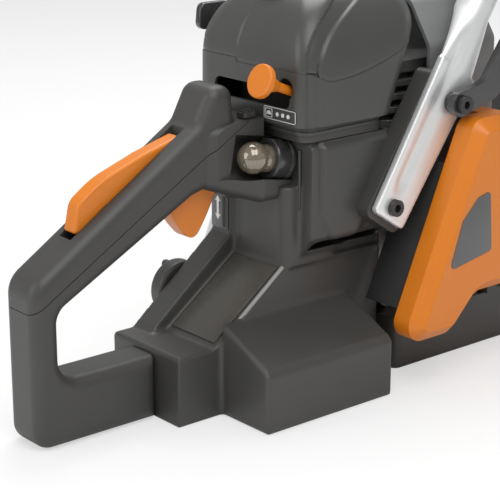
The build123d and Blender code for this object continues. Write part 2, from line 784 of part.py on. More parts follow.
choke_tilt = 21.0
choke_rod_radius = 3.0
choke_disc_radius, choke_disc_depth = 11.0, 4.6
choke_neck_radius, choke_neck_length = 6.8, 13.0
choke_direction = (-cos(radians(choke_tilt)), 0, sin(radians(choke_tilt)))
choke_y = -49.0
choke_plane = Plane(origin=(-158, choke_y, 214.3), x_dir=(0, 1, 0), z_dir=choke_direction)
knob_x, knob_y = -108.0, -6.0
with BuildPart() as choke_bore:
    with BuildSketch(choke_plane.offset(-70)):
        Circle(choke_rod_radius + running_gap)
    extrude(amount=60)

# Plate that closes the box, with the stud for the cover and the guide for the choke rod.
with BuildPart() as filter_base:
    with BuildSketch(Plane.XY.offset(box_top)):
        with Locations((-96, -7)):
            RectangleRounded(70, 106, 8)
            with Locations((0, 7)):
                Circle(10, mode=Mode.SUBTRACT)
    extrude(amount=5)
    with BuildSketch(Plane.XY.offset(box_top + 5)):
        with Locations((-116, choke_y)):
            Rectangle(10, 12)
    extrude(amount=32)
    with BuildSketch(Plane.XY.offset(box_top)):
        with Locations((knob_x, knob_y)):
            Circle(4)
    extrude(amount=81)
    add(choke_bore.part, mode=Mode.SUBTRACT)
filter_base.part.label = "filter_base"
export_step(filter_base.part, "parts/filter_base.step")

with BuildPart() as choke_knob:
    with BuildSketch(choke_plane.offset(-choke_disc_depth / 2)):
        Circle(choke_disc_radius)
    extrude(amount=choke_disc_depth)
    fillet(choke_knob.edges().filter_by(GeomType.CIRCLE), 1.2)
    with BuildSketch(choke_plane.offset(-choke_disc_depth / 2)):
        Circle(choke_neck_radius)
    with BuildSketch(choke_plane.offset(-choke_neck_length)):
        Circle(choke_rod_radius + 0.6)
    loft()
    with BuildSketch(choke_plane.offset(-52)):
        Circle(choke_rod_radius)
    extrude(amount=45)
choke_knob.part.label = "choke_knob"
export_step(choke_knob.part, "parts/choke_knob.step")

with BuildPart() as air_filter:
    with BuildSketch(Plane.XY.offset(box_top + 5)):
        with Locations((-92, -2)):
            RectangleRounded(44, 62, 8)
        with Locations((knob_x, knob_y)):
            Circle(5, mode=Mode.SUBTRACT)
    extrude(amount=38)
air_filter.part.label = "air_filter"
export_step(air_filter.part, "parts/air_filter.step")

def cover_body(inset, bottom):
    """Solid bounded by the side, front and plan outlines of the filter cover, drawn inset."""
    with BuildPart() as body:
        with BuildSketch(side(cover_left - inset)):
            with BuildLine():
                FilletPolyline(
                    (cover_rear, bottom), (cover_rear, 226), (-120, 256), (-60, 263), (-22, 262),
                    (-60 - (cover_bottom - bottom) * 0.447, bottom),
                    radius=[28, 24, 60, 8])
                Line((-60 - (cover_bottom - bottom) * 0.447, bottom), (cover_rear, bottom))
            make_face()
            if inset:
                offset(amount=-inset, mode=Mode.REPLACE)
        extrude(amount=cover_left - cover_right - 2 * inset)
        with BuildSketch(Plane.YZ.offset(cover_rear)):
            with BuildLine():
                FilletPolyline(
                    (cover_right, bottom), (cover_right, 238), (-46, 263), (22, 263),
                    (cover_left, 226), (cover_left, bottom), radius=[26, 24, 30, 30])
                Line((cover_left, bottom), (cover_right, bottom))
            make_face()
            if inset:
                offset(amount=-inset, mode=Mode.REPLACE)
        extrude(amount=120, mode=Mode.INTERSECT)
        with BuildSketch(Plane.XY.offset(bottom)):
            with BuildLine():
                FilletPolyline(
                    (cover_rear, cover_right), (cover_rear, cover_left), (-10, cover_left),
                    (-10, cover_right), radius=[14, 30, 14, 14], close=True)
            make_face()
            if inset:
                offset(amount=-inset, mode=Mode.REPLACE)
        extrude(amount=100, mode=Mode.INTERSECT)
    return body.part


slot_middle, slot_height, slot_length, slot_width = -15.5, 199.5, 75.0, 12.0
choke_hole_height = 206.6
with BuildPart() as filter_cover:
    add(cover_body(0, cover_bottom))
    add(cover_body(cover_wall, cover_bottom - 20), mode=Mode.SUBTRACT)
    with BuildSketch(Plane.YZ.offset(cover_rear - 5)):
        with Locations((slot_middle, slot_height)):
            SlotOverall(slot_length, slot_width)
        with Locations((choke_y, choke_hole_height)):
            Circle(7)
    extrude(amount=20, mode=Mode.SUBTRACT)
    with BuildSketch(Plane.XY.offset(240)):
        with Locations((knob_x, knob_y)):
            Circle(7.5)
    extrude(amount=30, mode=Mode.SUBTRACT)
filter_cover.part.label = "filter_cover"
export_step(filter_cover.part, "parts/filter_cover.step")

with BuildPart() as cover_knob:
    with BuildSketch(Plane.XY.offset(260)):
        with Locations((knob_x, knob_y)):
            Circle(13)
    extrude(amount=7)
    fillet(cover_knob.edges().filter_by(GeomType.CIRCLE), 2)
    with BuildSketch(Plane.XY.offset(244)):
        with Locations((knob_x, knob_y)):
            Circle(7)
    extrude(amount=16)
    with BuildSketch(Plane.XY.offset(244)):
        with Locations((knob_x, knob_y)):
            Circle(4 + running_gap)
    extrude(amount=12, mode=Mode.SUBTRACT)
cover_knob.part.label = "cover_knob"
export_step(cover_knob.part, "parts/cover_knob.step")

# ============================================================ primer

primer_tilt = 10.0
bulb_radius = 10.5
primer_plane = Plane(
    origin=(-153, -35, 162), x_dir=(0, 1, 0),
    z_dir=(-cos(radians(primer_tilt)), 0, sin(radians(primer_tilt))))
neck_radius = 9.2
flange_depth, collar_front = -24.9, -11.0
flange_radius, collar_radius = 14.0, 13.2
with BuildPart() as primer_bulb:
    with BuildSketch(primer_plane.offset(-19)):
        Circle(neck_radius)
    extrude(amount=19)
    with Locations(primer_plane):
        Sphere(bulb_radius)
primer_bulb.part.label = "primer_bulb"
export_step(primer_bulb.part, "parts/primer_bulb.step")

with BuildPart() as primer_collar:
    with BuildSketch(primer_plane.offset(flange_depth)):
        Circle(flange_radius)
    extrude(amount=2.5)
    with BuildSketch(primer_plane.offset(flange_depth)):
        Circle(collar_radius)
    extrude(amount=collar_front - flange_depth)
    fillet(primer_collar.faces().sort_by(Axis.X)[0].edges(), 1.2)
    with BuildSketch(primer_plane.offset(flange_depth + 1)):
        Circle(neck_radius + body_gap)
    extrude(amount=collar_front - flange_depth, mode=Mode.SUBTRACT)
primer_collar.part.label = "primer_collar"
export_step(primer_collar.part, "parts/primer_collar.step")

# ============================================================ rear handle

grip_left = grip_middle + grip_width / 2
grip_right = grip_middle - grip_width / 2
seam_plane = Plane(
    origin=(-164, 0, 178),
    x_dir=(cos(radians(seam_slope)), 0, sin(radians(seam_slope))),
    z_dir=(-sin(radians(seam_slope)), 0, cos(radians(seam_slope))))
lock_pin_x, lock_pin_z = -206.0, 166.5
trigger_pin_x, trigger_pin_z = -173.0, 152.0
pin_radius = 2.0

with BuildPart() as handle_blank:
    with BuildSketch(side(grip_left)):
        with BuildLine():
            FilletPolyline(
                (-150, 185), (-159, 185), (-161, 209), (-178, 209), (-190, 186.6),
                (-316, 105.6), (-316, 0), (tank_rear, 0), (tank_rear, 42), (-297, 42),
                (-297, 86), (-193, 141), (-178, 145), (-160, 133), (-150, 133),
                radius=[5, 9, 10, 12, 18, 12, 0.5, 0.5, 14, 12, 14, 10, 12])
            Line((-150, 133), (-150, 185))
        make_face()
    extrude(amount=grip_width)
    fillet(handle_blank.faces().filter_by(Axis.Y).edges().filter_by(
        lambda edge: -315.9 < edge.center().X < -166 and edge.center().Z > 88), grip_edge)

# Root that widens from the grip to the housing, with its lower corner left under the primer.
with BuildPart() as handle_root:
    with BuildSketch(Plane.YZ.offset(-186)):
        with Locations((grip_middle, 164)):
            RectangleRounded(grip_width - 2, 39, 7)
    with BuildSketch(Plane.YZ.offset(-150)):
        with Locations((-12, 159)):
            RectangleRounded(62, 53, 7)
    loft()
    with BuildSketch(Plane.YZ.offset(-150)):
        with Locations((-12, 159)):
            RectangleRounded(62, 53, 7)
    extrude(amount=notch_x + 150)

with BuildPart() as primer_space:
    with BuildSketch(primer_plane.offset(flange_depth - 6)):
        Circle(flange_radius + 0.6)
    extrude(amount=6 - flange_depth + bulb_radius + 2)
with BuildPart() as trigger_space:
    with BuildSketch(side(grip_middle + lever_slot / 2)):
        with BuildLine():
            Polyline((-222, 100), (-222, 158), (-204, 160), (-160, 160), (-160, 100), close=True)
        make_face()
    extrude(amount=lever_slot)
with BuildPart() as lock_space:
    with BuildSketch(side(grip_middle + lever_slot / 2)):
        with BuildLine():
            Polyline(
                (-193.5, 196), (-193.5, 165), (-212, 157), (-262, 125.5), (-274, 113.5),
                (-282.5, 130), (-240, 196), close=True)
        make_face()
    extrude(amount=lever_slot)
with BuildPart() as lever_pins:
    for x, z in ((lock_pin_x, lock_pin_z), (trigger_pin_x, trigger_pin_z)):
        with BuildSketch(side(grip_left - 3)):
            with Locations((x, z)):
                Circle(pin_radius)
        extrude(amount=grip_width - 6)
lever_pins.part.label = "lever_pins"
export_step(lever_pins.part, "parts/lever_pins.step")

with BuildPart() as handle_whole:
    add(handle_blank.part)
    add(handle_root.part)
    # Housing behind the lower wall takes the place of the root there.
    with BuildSketch(Plane.XY.offset(100)):
        with Locations(((lower_wall_x + notch_x) / 2, 0)):
            Rectangle(notch_x - lower_wall_x, 200)
    extrude(amount=notch_floor - 100, mode=Mode.SUBTRACT)
    with BuildSketch(Plane.XY.offset(notch_floor)):
        with Locations(((lower_wall_x + notch_x) / 2, notch_y + 100)):
            Rectangle(notch_x - lower_wall_x, 200)
    extrude(amount=80, mode=Mode.SUBTRACT)
    with BuildSketch(Plane.YZ.offset(-200)):
        with Locations((-52, 180)):
            Rectangle(44, 60)
    extrude(amount=80, mode=Mode.SUBTRACT)
    with BuildSketch(Plane.XY.offset(box_top - body_gap)):
        with Locations((lower_wall_x + 8.5, 0)):
            Rectangle(20, 200)
    extrude(amount=40, mode=Mode.SUBTRACT)
    add(primer_space.part, mode=Mode.SUBTRACT)
    add(trigger_space.part, mode=Mode.SUBTRACT)
    add(lock_space.part, mode=Mode.SUBTRACT)
    add(lever_pins.part, mode=Mode.SUBTRACT)

with BuildPart() as rear_handle:
    add(handle_whole.part)
    split(bisect_by=seam_plane.offset(-seam_gap / 2), keep=Keep.BOTTOM)
rear_handle.part.label = "rear_handle"
export_step(rear_handle.part, "parts/rear_handle.step")

with BuildPart() as grip_cover:
    add(handle_whole.part)
    split(bisect_by=seam_plane.offset(seam_gap / 2), keep=Keep.TOP)
grip_cover.part.label = "grip_cover"
export_step(grip_cover.part, "parts/grip_cover.step")

with BuildPart() as throttle_lock:
    with BuildSketch(side(grip_middle + lever_width / 2)):
        with BuildLine():
            FilletPolyline(
                (-197.5, 179.5), (-225, 172), (-258, 160.3), (-274.5, 149), (-278.5, 131),
                (-273.5, 129), (-257, 142), (-222, 158), (-200, 165),
                radius=[60, 60, 11, 2, 4, 6, 30])
            Line((-200, 165), (-197.5, 179.5))
        make_face()
    extrude(amount=lever_width)
    fillet(throttle_lock.faces().filter_by(Axis.Y).edges().filter_by(
        lambda edge: -275 < edge.center().X < -203 and edge.center().Z > 160), 2)
    with BuildSketch(side(grip_middle + lever_width / 2)):
        with Locations((lock_pin_x, lock_pin_z)):
            Circle(pin_radius + running_gap)
    extrude(amount=lever_width, mode=Mode.SUBTRACT)
throttle_lock.part.label = "throttle_lock"
export_step(throttle_lock.part, "parts/throttle_lock.step")

with BuildPart() as throttle_trigger:
    with BuildSketch(side(grip_middle + lever_width / 2)):
        with BuildLine():
            trigger_front = Spline((-166, 146), (-173, 130), (-183, 114))
            trigger_tip = Spline(trigger_front @ 1, (-188, 111.5), (-193, 114))
            trigger_back = Spline(trigger_tip @ 1, (-202, 125), (-209, 139))
            Polyline(trigger_back @ 1, (-208, 147), (-196, 152), (-180, 156.5), (-168, 157),
                     (-166, 154), trigger_front @ 0)
        make_face()
    extrude(amount=lever_width)
    with BuildSketch(side(grip_middle + lever_width / 2)):
        with Locations((trigger_pin_x, trigger_pin_z)):
            Circle(pin_radius + running_gap)
    extrude(amount=lever_width, mode=Mode.SUBTRACT)
throttle_trigger.part.label = "throttle_trigger"
export_step(throttle_trigger.part, "parts/throttle_trigger.step")

# Slider on top of the root that stops the engine.
root_top = 185.5
switch_front, switch_y = -142.5, -22.0
switch_length, switch_width, switch_height = 10.5, 9.0, 3.5
switch_x = switch_front - switch_length / 2
ridge_pitch, ridge_width, ridge_height = 3.4, 1.6, 1.0
with BuildPart() as stop_switch:
    with BuildSketch(Plane.XY.offset(root_top + body_gap)):
        with Locations((switch_x, switch_y)):
            RectangleRounded(switch_length, switch_width, 2)
    extrude(amount=switch_height)
    with BuildSketch(Plane.XY.offset(root_top + body_gap + switch_height)):
        with Locations(*[(switch_x + turn * ridge_pitch, switch_y) for turn in (-1, 0, 1)]):
            Rectangle(ridge_width, switch_width - 1)
    extrude(amount=ridge_height)
stop_switch.part.label = "stop_switch"
export_step(stop_switch.part, "parts/stop_switch.step")

# ============================================================ front handle, bracket, hand guard

strut_cos, strut_sin = cos(radians(strut_angle)), sin(radians(strut_angle))


def on_strut(along, across):
    """Point in the side view at a distance along the strut and to the rear of its middle."""
    return (strut_lower[0] + along * strut_cos - across * strut_sin,
            strut_lower[1] + along * strut_sin + across * strut_cos)


flat_length, tube_start = 112.0, 152.0
tube_y = -70.0
strut_half_low, strut_half_high = 15.0, 18.5
strut_back = strut_face + strut_thickness
screw_point = on_strut(9.5, 1.5)


def strut_section(along, y):
    """Plane square to the strut's direction, with sketch x to the rear-up and sketch y across."""
    x, z = on_strut(along, 0)
    return Plane(origin=(x, y, z), x_dir=(-strut_sin, 0, strut_cos),
                 z_dir=(strut_cos, 0, strut_sin))


with BuildPart() as front_handle:
    with BuildSketch(side(strut_back)):
        with BuildLine():
            Polyline(
                on_strut(0, -strut_half_low), on_strut(flat_length, -strut_half_high),
                on_strut(flat_length, strut_half_high), on_strut(0, strut_half_low), close=True)
        make_face()
    extrude(amount=strut_thickness)
    fillet(front_handle.edges().filter_by(Axis.Y).group_by(Axis.Z)[0]
           + front_handle.edges().filter_by(Axis.Y).group_by(Axis.Z)[1], 3)
    with BuildSketch(strut_section(flat_length - 8, strut_face + strut_thickness / 2)):
        Ellipse(strut_half_high, strut_thickness / 2)
    with BuildSketch(strut_section((flat_length + tube_start) / 2, -75)):
        Ellipse(15.5, 8)
    with BuildSketch(strut_section(tube_start, tube_y)):
        Circle(tube_radius)
    loft()
    tube_foot = on_strut(tube_start, 0)
    with BuildLine() as handle_path:
        corner = on_strut((handle_top_z - strut_lower[1]) / strut_sin, 0)
        FilletPolyline(
            (tube_foot[0], tube_y, tube_foot[1]), (corner[0], tube_y, corner[1]),
            (corner[0], handle_left_y, corner[1]), (-75, handle_left_y, 22), (-75, 58, 22),
            radius=[34, 40, 24])
    with BuildSketch(strut_section(tube_start, tube_y)):
        Circle(tube_radius)
    sweep(path=handle_path.wires()[0])
    with BuildSketch(side(strut_back)):
        with Locations(screw_point, (pivot_x, pivot_z)):
            Circle(pivot_radius)
    extrude(amount=strut_thickness, mode=Mode.SUBTRACT)
front_handle.part.label = "front_handle"
export_step(front_handle.part, "parts/front_handle.step")

with BuildPart() as handle_bracket:
    with BuildSketch(side(box_right)):
        with BuildLine():
            FilletPolyline(
                on_strut(-4, -17), on_strut(104, -17), on_strut(104, 17), on_strut(-4, 17),
                radius=[6, 6, 6, 6], close=True)
        make_face()
        with Locations(screw_point, (pivot_x, pivot_z)):
            Circle(pivot_radius, mode=Mode.SUBTRACT)
    extrude(amount=box_right - strut_back)
handle_bracket.part.label = "handle_bracket"
export_step(handle_bracket.part, "parts/handle_bracket.step")

arm_inner, arm_outer = -86.0, -92.0
left_arm_inner, left_arm_outer = 57.0, 63.0
with BuildPart() as handle_screws:
    with BuildSketch(side(box_right - 2)):
        with Locations(screw_point):
            Circle(pivot_radius)
    extrude(amount=box_right - 2 - strut_face)
    with BuildSketch(side(strut_face)):
        with Locations(screw_point):
            Circle(5.6)
            RegularPolygon(2.9, 6, mode=Mode.SUBTRACT)
    extrude(amount=3.6)
    with BuildSketch(side(box_right - 2)):
        with Locations((pivot_x, pivot_z)):
            Circle(pivot_radius)
    extrude(amount=box_right - 2 - arm_outer + body_gap)
    with BuildSketch(side(strut_face)):
        with Locations((pivot_x, pivot_z)):
            Circle(7)
    extrude(amount=strut_face - arm_inner - body_gap)
    with BuildSketch(side(arm_outer - body_gap)):
        with Locations((pivot_x, pivot_z)):
            Circle(6)
            RegularPolygon(2.9, 6, mode=Mode.SUBTRACT)
    extrude(amount=3.6)
    # Left pivot of the hand guard, in the lug on the shroud.
    with BuildSketch(side(left_arm_outer + 3)):
        with Locations((pivot_x, pivot_z)):
            Circle(pivot_radius)
    extrude(amount=left_arm_outer + 3 - shroud_left + wall)
    with BuildSketch(side(left_arm_outer + 4)):
        with Locations((pivot_x, pivot_z)):
            Circle(6.5)
    extrude(amount=4 - body_gap)
handle_screws.part.label = "handle_screws"
export_step(handle_screws.part, "parts/handle_screws.step")

guard_profile = (
    (-21, 196.5), (0, 200), (10, 214), (74, 300), (84, 312), (97, 312), (102, 286), (92, 272),
    (46, 212), (10, 188), (-21, 179.5),
)
with BuildPart() as hand_guard:
    for inner in (arm_inner, left_arm_outer):
        with BuildSketch(side(inner)):
            with BuildLine():
                FilletPolyline(*guard_profile, radius=[1, 12, 6, 20, 8, 6, 8, 20, 30, 12, 1],
                               close=True)
            make_face()
            with Locations((pivot_x, pivot_z)):
                Circle(8.5)
            with Locations((62, 256)):
                SlotOverall(46, 12, rotation=53, mode=Mode.SUBTRACT)
            with Locations((pivot_x, pivot_z)):
                Circle(pivot_radius + running_gap, mode=Mode.SUBTRACT)
        extrude(amount=arm_inner - arm_outer)
    with BuildSketch(side(left_arm_outer)):
        with BuildLine():
            FilletPolyline(
                (84, 312), (97, 312), (102, 286), (96, 282), (91, 306), (84, 306),
                radius=[2, 7, 2, 2, 3, 2], close=True)
        make_face()
    extrude(amount=left_arm_outer - arm_outer)
hand_guard.part.label = "hand_guard"
export_step(hand_guard.part, "parts/hand_guard.step")

# Lug on the shroud's left wall for the guard's left pivot.
with BuildPart() as cylinder_shroud:
    add(shroud_shell.part)
    with BuildSketch(side(shroud_left)):
        with BuildLine():
            Polyline((pivot_x - 9, pivot_z - 9), (shroud_rear + 1, pivot_z - 16),
                     (shroud_rear + 1, pivot_z + 16), (pivot_x - 9, pivot_z + 9), close=True)
        make_face()
        with Locations((pivot_x, pivot_z)):
            Circle(pivot_radius, mode=Mode.SUBTRACT)
    extrude(amount=wall)
    with BuildSketch(side(shroud_left)):
        with Locations((pivot_x, pivot_z)):
            Circle(pivot_radius)
    extrude(amount=wall, mode=Mode.SUBTRACT)
cylinder_shroud.part.label = "cylinder_shroud"
export_step(cylinder_shroud.part, "parts/cylinder_shroud.step")

# Rubber buffers between the engine and the tank unit.
buffer_radius = 8.0
with BuildPart() as av_mounts:
    for y, z in ((-30, 62), (10, 62), (10, 118)):
        buffer_rear = tank_front if z < trough_top else box_front
        with BuildSketch(Plane.YZ.offset(buffer_rear)):
            with Locations((y, z)):
                Circle(buffer_radius)
        extrude(amount=case_rear - buffer_rear)
av_mounts.part.label = "av_mounts"
export_step(av_mounts.part, "parts/av_mounts.step")

# ============================================================ flywheel and starter

flywheel_inner, flywheel_outer = 46.0, 60.0
with BuildPart() as flywheel:
    with BuildSketch(side(flywheel_outer)):
        with Locations((0, crank_height)):
            Circle(flywheel_radius)
    extrude(amount=flywheel_outer - flywheel_inner)
    with BuildSketch(side(flywheel_outer)):
        with Locations((0, crank_height)):
            Circle(flywheel_radius - 5)
            Circle(13, mode=Mode.SUBTRACT)
    extrude(amount=9, mode=Mode.SUBTRACT)
    with BuildSketch(side(flywheel_inner + 9)):
        with Locations((0, crank_height)):
            with PolarLocations(26, 16):
                Rectangle(28, 2)
    extrude(amount=6)
    with BuildSketch(side(flywheel_outer)):
        with Locations((0, crank_height)):
            Circle(spindle_radius)
    extrude(amount=flywheel_outer - flywheel_inner, mode=Mode.SUBTRACT)
flywheel.part.label = "flywheel"
export_step(flywheel.part, "parts/flywheel.step")

housing_inner = case_half_width
housing_middle_x, housing_middle_z = 5.0, 99.5
housing_length, housing_height = 114.0, 121.0
boss_circle, boss_angle = 51.7, 41.0
post_radius = 5.0
with BuildPart() as starter_housing:
    with BuildSketch(side(housing_outer_y)):
        with Locations((housing_middle_x, housing_middle_z)):
            RectangleRounded(housing_length, housing_height, 32)
    extrude(amount=housing_outer_y - housing_inner)
    fillet(starter_housing.faces().sort_by(Axis.Y)[-1].edges(), 10)
    with BuildSketch(side(housing_outer_y - wall)):
        with Locations((housing_middle_x, housing_middle_z)):
            RectangleRounded(housing_length - 2 * wall, housing_height - 2 * wall, 29)
    extrude(amount=housing_outer_y - wall - housing_inner, mode=Mode.SUBTRACT)
    with BuildSketch(side(housing_outer_y)):
        with Locations((0, crank_height)):
            with PolarLocations(29, 16):
                SlotOverall(24, 4.5)
    extrude(amount=wall, mode=Mode.SUBTRACT)
    with BuildSketch(side(housing_outer_y - wall)):
        with Locations((0, crank_height)):
            for angle in (boss_angle, 180 - boss_angle, 180 + boss_angle, -boss_angle):
                with PolarLocations(boss_circle, 1, start_angle=angle):
                    Circle(5)
    extrude(amount=housing_outer_y - wall - housing_inner)
    with BuildSketch(side(housing_outer_y - wall)):
        with Locations((0, crank_height)):
            Circle(post_radius)
    extrude(amount=housing_outer_y - wall - (pulley_y - pulley_width / 2 - 3))
    with BuildSketch(Plane.XY.offset(crank_height + 40)):
        with Locations((rope_x, pulley_y)):
            Circle(rope_radius + 0.6)
    extrude(amount=40, mode=Mode.SUBTRACT)
starter_housing.part.label = "starter_housing"
export_step(starter_housing.part, "parts/starter_housing.step")

pulley_left = pulley_y + pulley_width / 2
with BuildPart() as starter_pulley:
    with BuildSketch(side(pulley_left)):
        with Locations((0, crank_height)):
            Circle(pulley_radius)
    extrude(amount=pulley_width)
    with BuildSketch(side(pulley_y + 3)):
        with Locations((0, crank_height)):
            Circle(pulley_radius + 1)
            Circle(pulley_radius - 7, mode=Mode.SUBTRACT)
    extrude(amount=6, mode=Mode.SUBTRACT)
    with BuildSketch(side(pulley_left - pulley_width)):
        with Locations((0, crank_height)):
            with PolarLocations(10, 3):
                Rectangle(7, 5)
            Circle(10)
    extrude(amount=2.5)
    with BuildSketch(side(pulley_left)):
        with Locations((0, crank_height)):
            Circle(post_radius + running_gap)
    extrude(amount=pulley_width + 3, mode=Mode.SUBTRACT)
starter_pulley.part.label = "starter_pulley"
export_step(starter_pulley.part, "parts/starter_pulley.step")

# Flat spiral spring between the pulley and the housing's end wall, wound round the post.
spring_turns, spring_first_radius, spring_pitch, spring_strip = 5, 8.0, 3.4, 1.0


def spiral(first_radius):
    """Spline of the spring's turns, starting at the given radius."""
    points = []
    for step in range(spring_turns * 8 + 1):
        turn = step / 8
        radius = first_radius + spring_pitch * turn
        points.append((radius * cos(radians(360 * turn)),
                       crank_height + radius * sin(radians(360 * turn))))
    return Spline(*points)


with BuildPart() as recoil_spring:
    with BuildSketch(side(housing_outer_y - wall)):
        with BuildLine():
            inner_turns = spiral(spring_first_radius)
            outer_turns = spiral(spring_first_radius + spring_strip)
            Line(inner_turns @ 0, outer_turns @ 0)
            Line(inner_turns @ 1, outer_turns @ 1)
        make_face()
    extrude(amount=housing_outer_y - wall - pulley_left - 1)
recoil_spring.part.label = "recoil_spring"
export_step(recoil_spring.part, "parts/recoil_spring.step")

housing_top = housing_middle_z + housing_height / 2
grip_bottom = housing_top + body_gap
with BuildPart() as starter_grip:
    with BuildSketch(Plane.XY.offset(grip_bottom)):
        with Locations((rope_x, pulley_y)):
            RectangleRounded(20, 13, 5)
    with BuildSketch(Plane.XY.offset(grip_bottom + 22)):
        with Locations((rope_x, pulley_y)):
            RectangleRounded(40, 15, 7)
    loft()
    fillet(starter_grip.faces().sort_by(Axis.Z)[-1].edges(), 3)
    with BuildSketch(Plane.XY.offset(grip_bottom)):
        with Locations((rope_x, pulley_y)):
            Circle(rope_radius)
    extrude(amount=14, mode=Mode.SUBTRACT)
starter_grip.part.label = "starter_grip"
export_step(starter_grip.part, "parts/starter_grip.step")

with BuildPart() as starter_rope:
    with BuildSketch(Plane.XY.offset(crank_height)):
        with Locations((rope_x, pulley_y)):
            Circle(rope_radius)
    extrude(amount=grip_bottom + 14 - crank_height)
starter_rope.part.label = "starter_rope"
export_step(starter_rope.part, "parts/starter_rope.step")

with BuildPart() as ignition_coil:
    coil_bottom = crank_height + flywheel_radius + 0.5
    with BuildSketch(side(flywheel_outer)):
        with Locations((0, 152)):
            Rectangle(28, 9)
    extrude(amount=flywheel_outer - cylinder_half_width)
    with BuildSketch(side(flywheel_outer - 2)):
        with Locations((-10, (coil_bottom + 148) / 2), (10, (coil_bottom + 148) / 2)):
            Rectangle(7, 148 - coil_bottom)
    extrude(amount=8)
    with BuildSketch(side(flywheel_outer)):
        with Locations((0, 151.5)):
            RectangleRounded(18, 9, 2)
    extrude(amount=flywheel_outer - cylinder_half_width - 6)
ignition_coil.part.label = "ignition_coil"
export_step(ignition_coil.part, "parts/ignition_coil.step")
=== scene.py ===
"""Looks of a petrol chainsaw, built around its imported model. Lengths are in metres."""

import json
import logging
import math
from dataclasses import dataclass, field
from typing import Callable, Sequence

import bmesh
import bpy
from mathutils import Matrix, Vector

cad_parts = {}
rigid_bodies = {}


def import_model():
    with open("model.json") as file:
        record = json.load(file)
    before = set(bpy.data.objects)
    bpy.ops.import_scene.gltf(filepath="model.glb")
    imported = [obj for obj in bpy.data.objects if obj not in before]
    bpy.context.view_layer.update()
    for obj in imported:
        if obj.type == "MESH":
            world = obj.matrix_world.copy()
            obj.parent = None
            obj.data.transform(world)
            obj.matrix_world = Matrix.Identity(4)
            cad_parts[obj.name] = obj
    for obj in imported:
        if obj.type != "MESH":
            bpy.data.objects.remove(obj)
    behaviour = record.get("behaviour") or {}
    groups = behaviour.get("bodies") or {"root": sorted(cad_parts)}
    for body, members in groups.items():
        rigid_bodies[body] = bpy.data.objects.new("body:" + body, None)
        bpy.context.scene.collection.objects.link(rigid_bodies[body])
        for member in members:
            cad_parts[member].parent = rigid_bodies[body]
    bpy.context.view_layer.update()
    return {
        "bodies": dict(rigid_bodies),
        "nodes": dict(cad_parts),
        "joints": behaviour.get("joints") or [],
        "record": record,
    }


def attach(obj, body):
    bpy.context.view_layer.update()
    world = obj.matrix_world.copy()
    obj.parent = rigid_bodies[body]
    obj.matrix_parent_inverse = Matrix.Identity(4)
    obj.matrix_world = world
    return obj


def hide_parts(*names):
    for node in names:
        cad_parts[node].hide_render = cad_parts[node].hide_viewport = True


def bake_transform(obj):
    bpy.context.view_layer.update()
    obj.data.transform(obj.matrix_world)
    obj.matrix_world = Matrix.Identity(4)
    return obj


LOG = logging.getLogger("chainsaw")
Point = tuple[float, float, float]
Pair = tuple[float, float]
Colour = tuple[float, float, float]


# ---------------------------------------------------------------- shader graph


class Sock:
    """A shader socket that arithmetic works on."""

    def __init__(self, graph: "Graph", socket: bpy.types.NodeSocket) -> None:
        """Keeps the socket and the graph that it belongs to."""
        self.graph = graph
        self.socket = socket

    def maths(self, operation: str, *values: "Sock | float") -> "Sock":
        """Adds one Math node.

        Args:
            operation: the Math node's operation.
            values: the operands, in order.

        Returns:
            The node's result.
        """
        return self.graph.node("ShaderNodeMath", {"operation": operation},
                               dict(enumerate(values)))

    def __add__(self, other: "Sock | float") -> "Sock":
        """Sum."""
        return self.maths("ADD", self, other)

    __radd__ = __add__

    def __sub__(self, other: "Sock | float") -> "Sock":
        """Difference."""
        return self.maths("SUBTRACT", self, other)

    def __mul__(self, other: "Sock | float") -> "Sock":
        """Product."""
        return self.maths("MULTIPLY", self, other)

    __rmul__ = __mul__


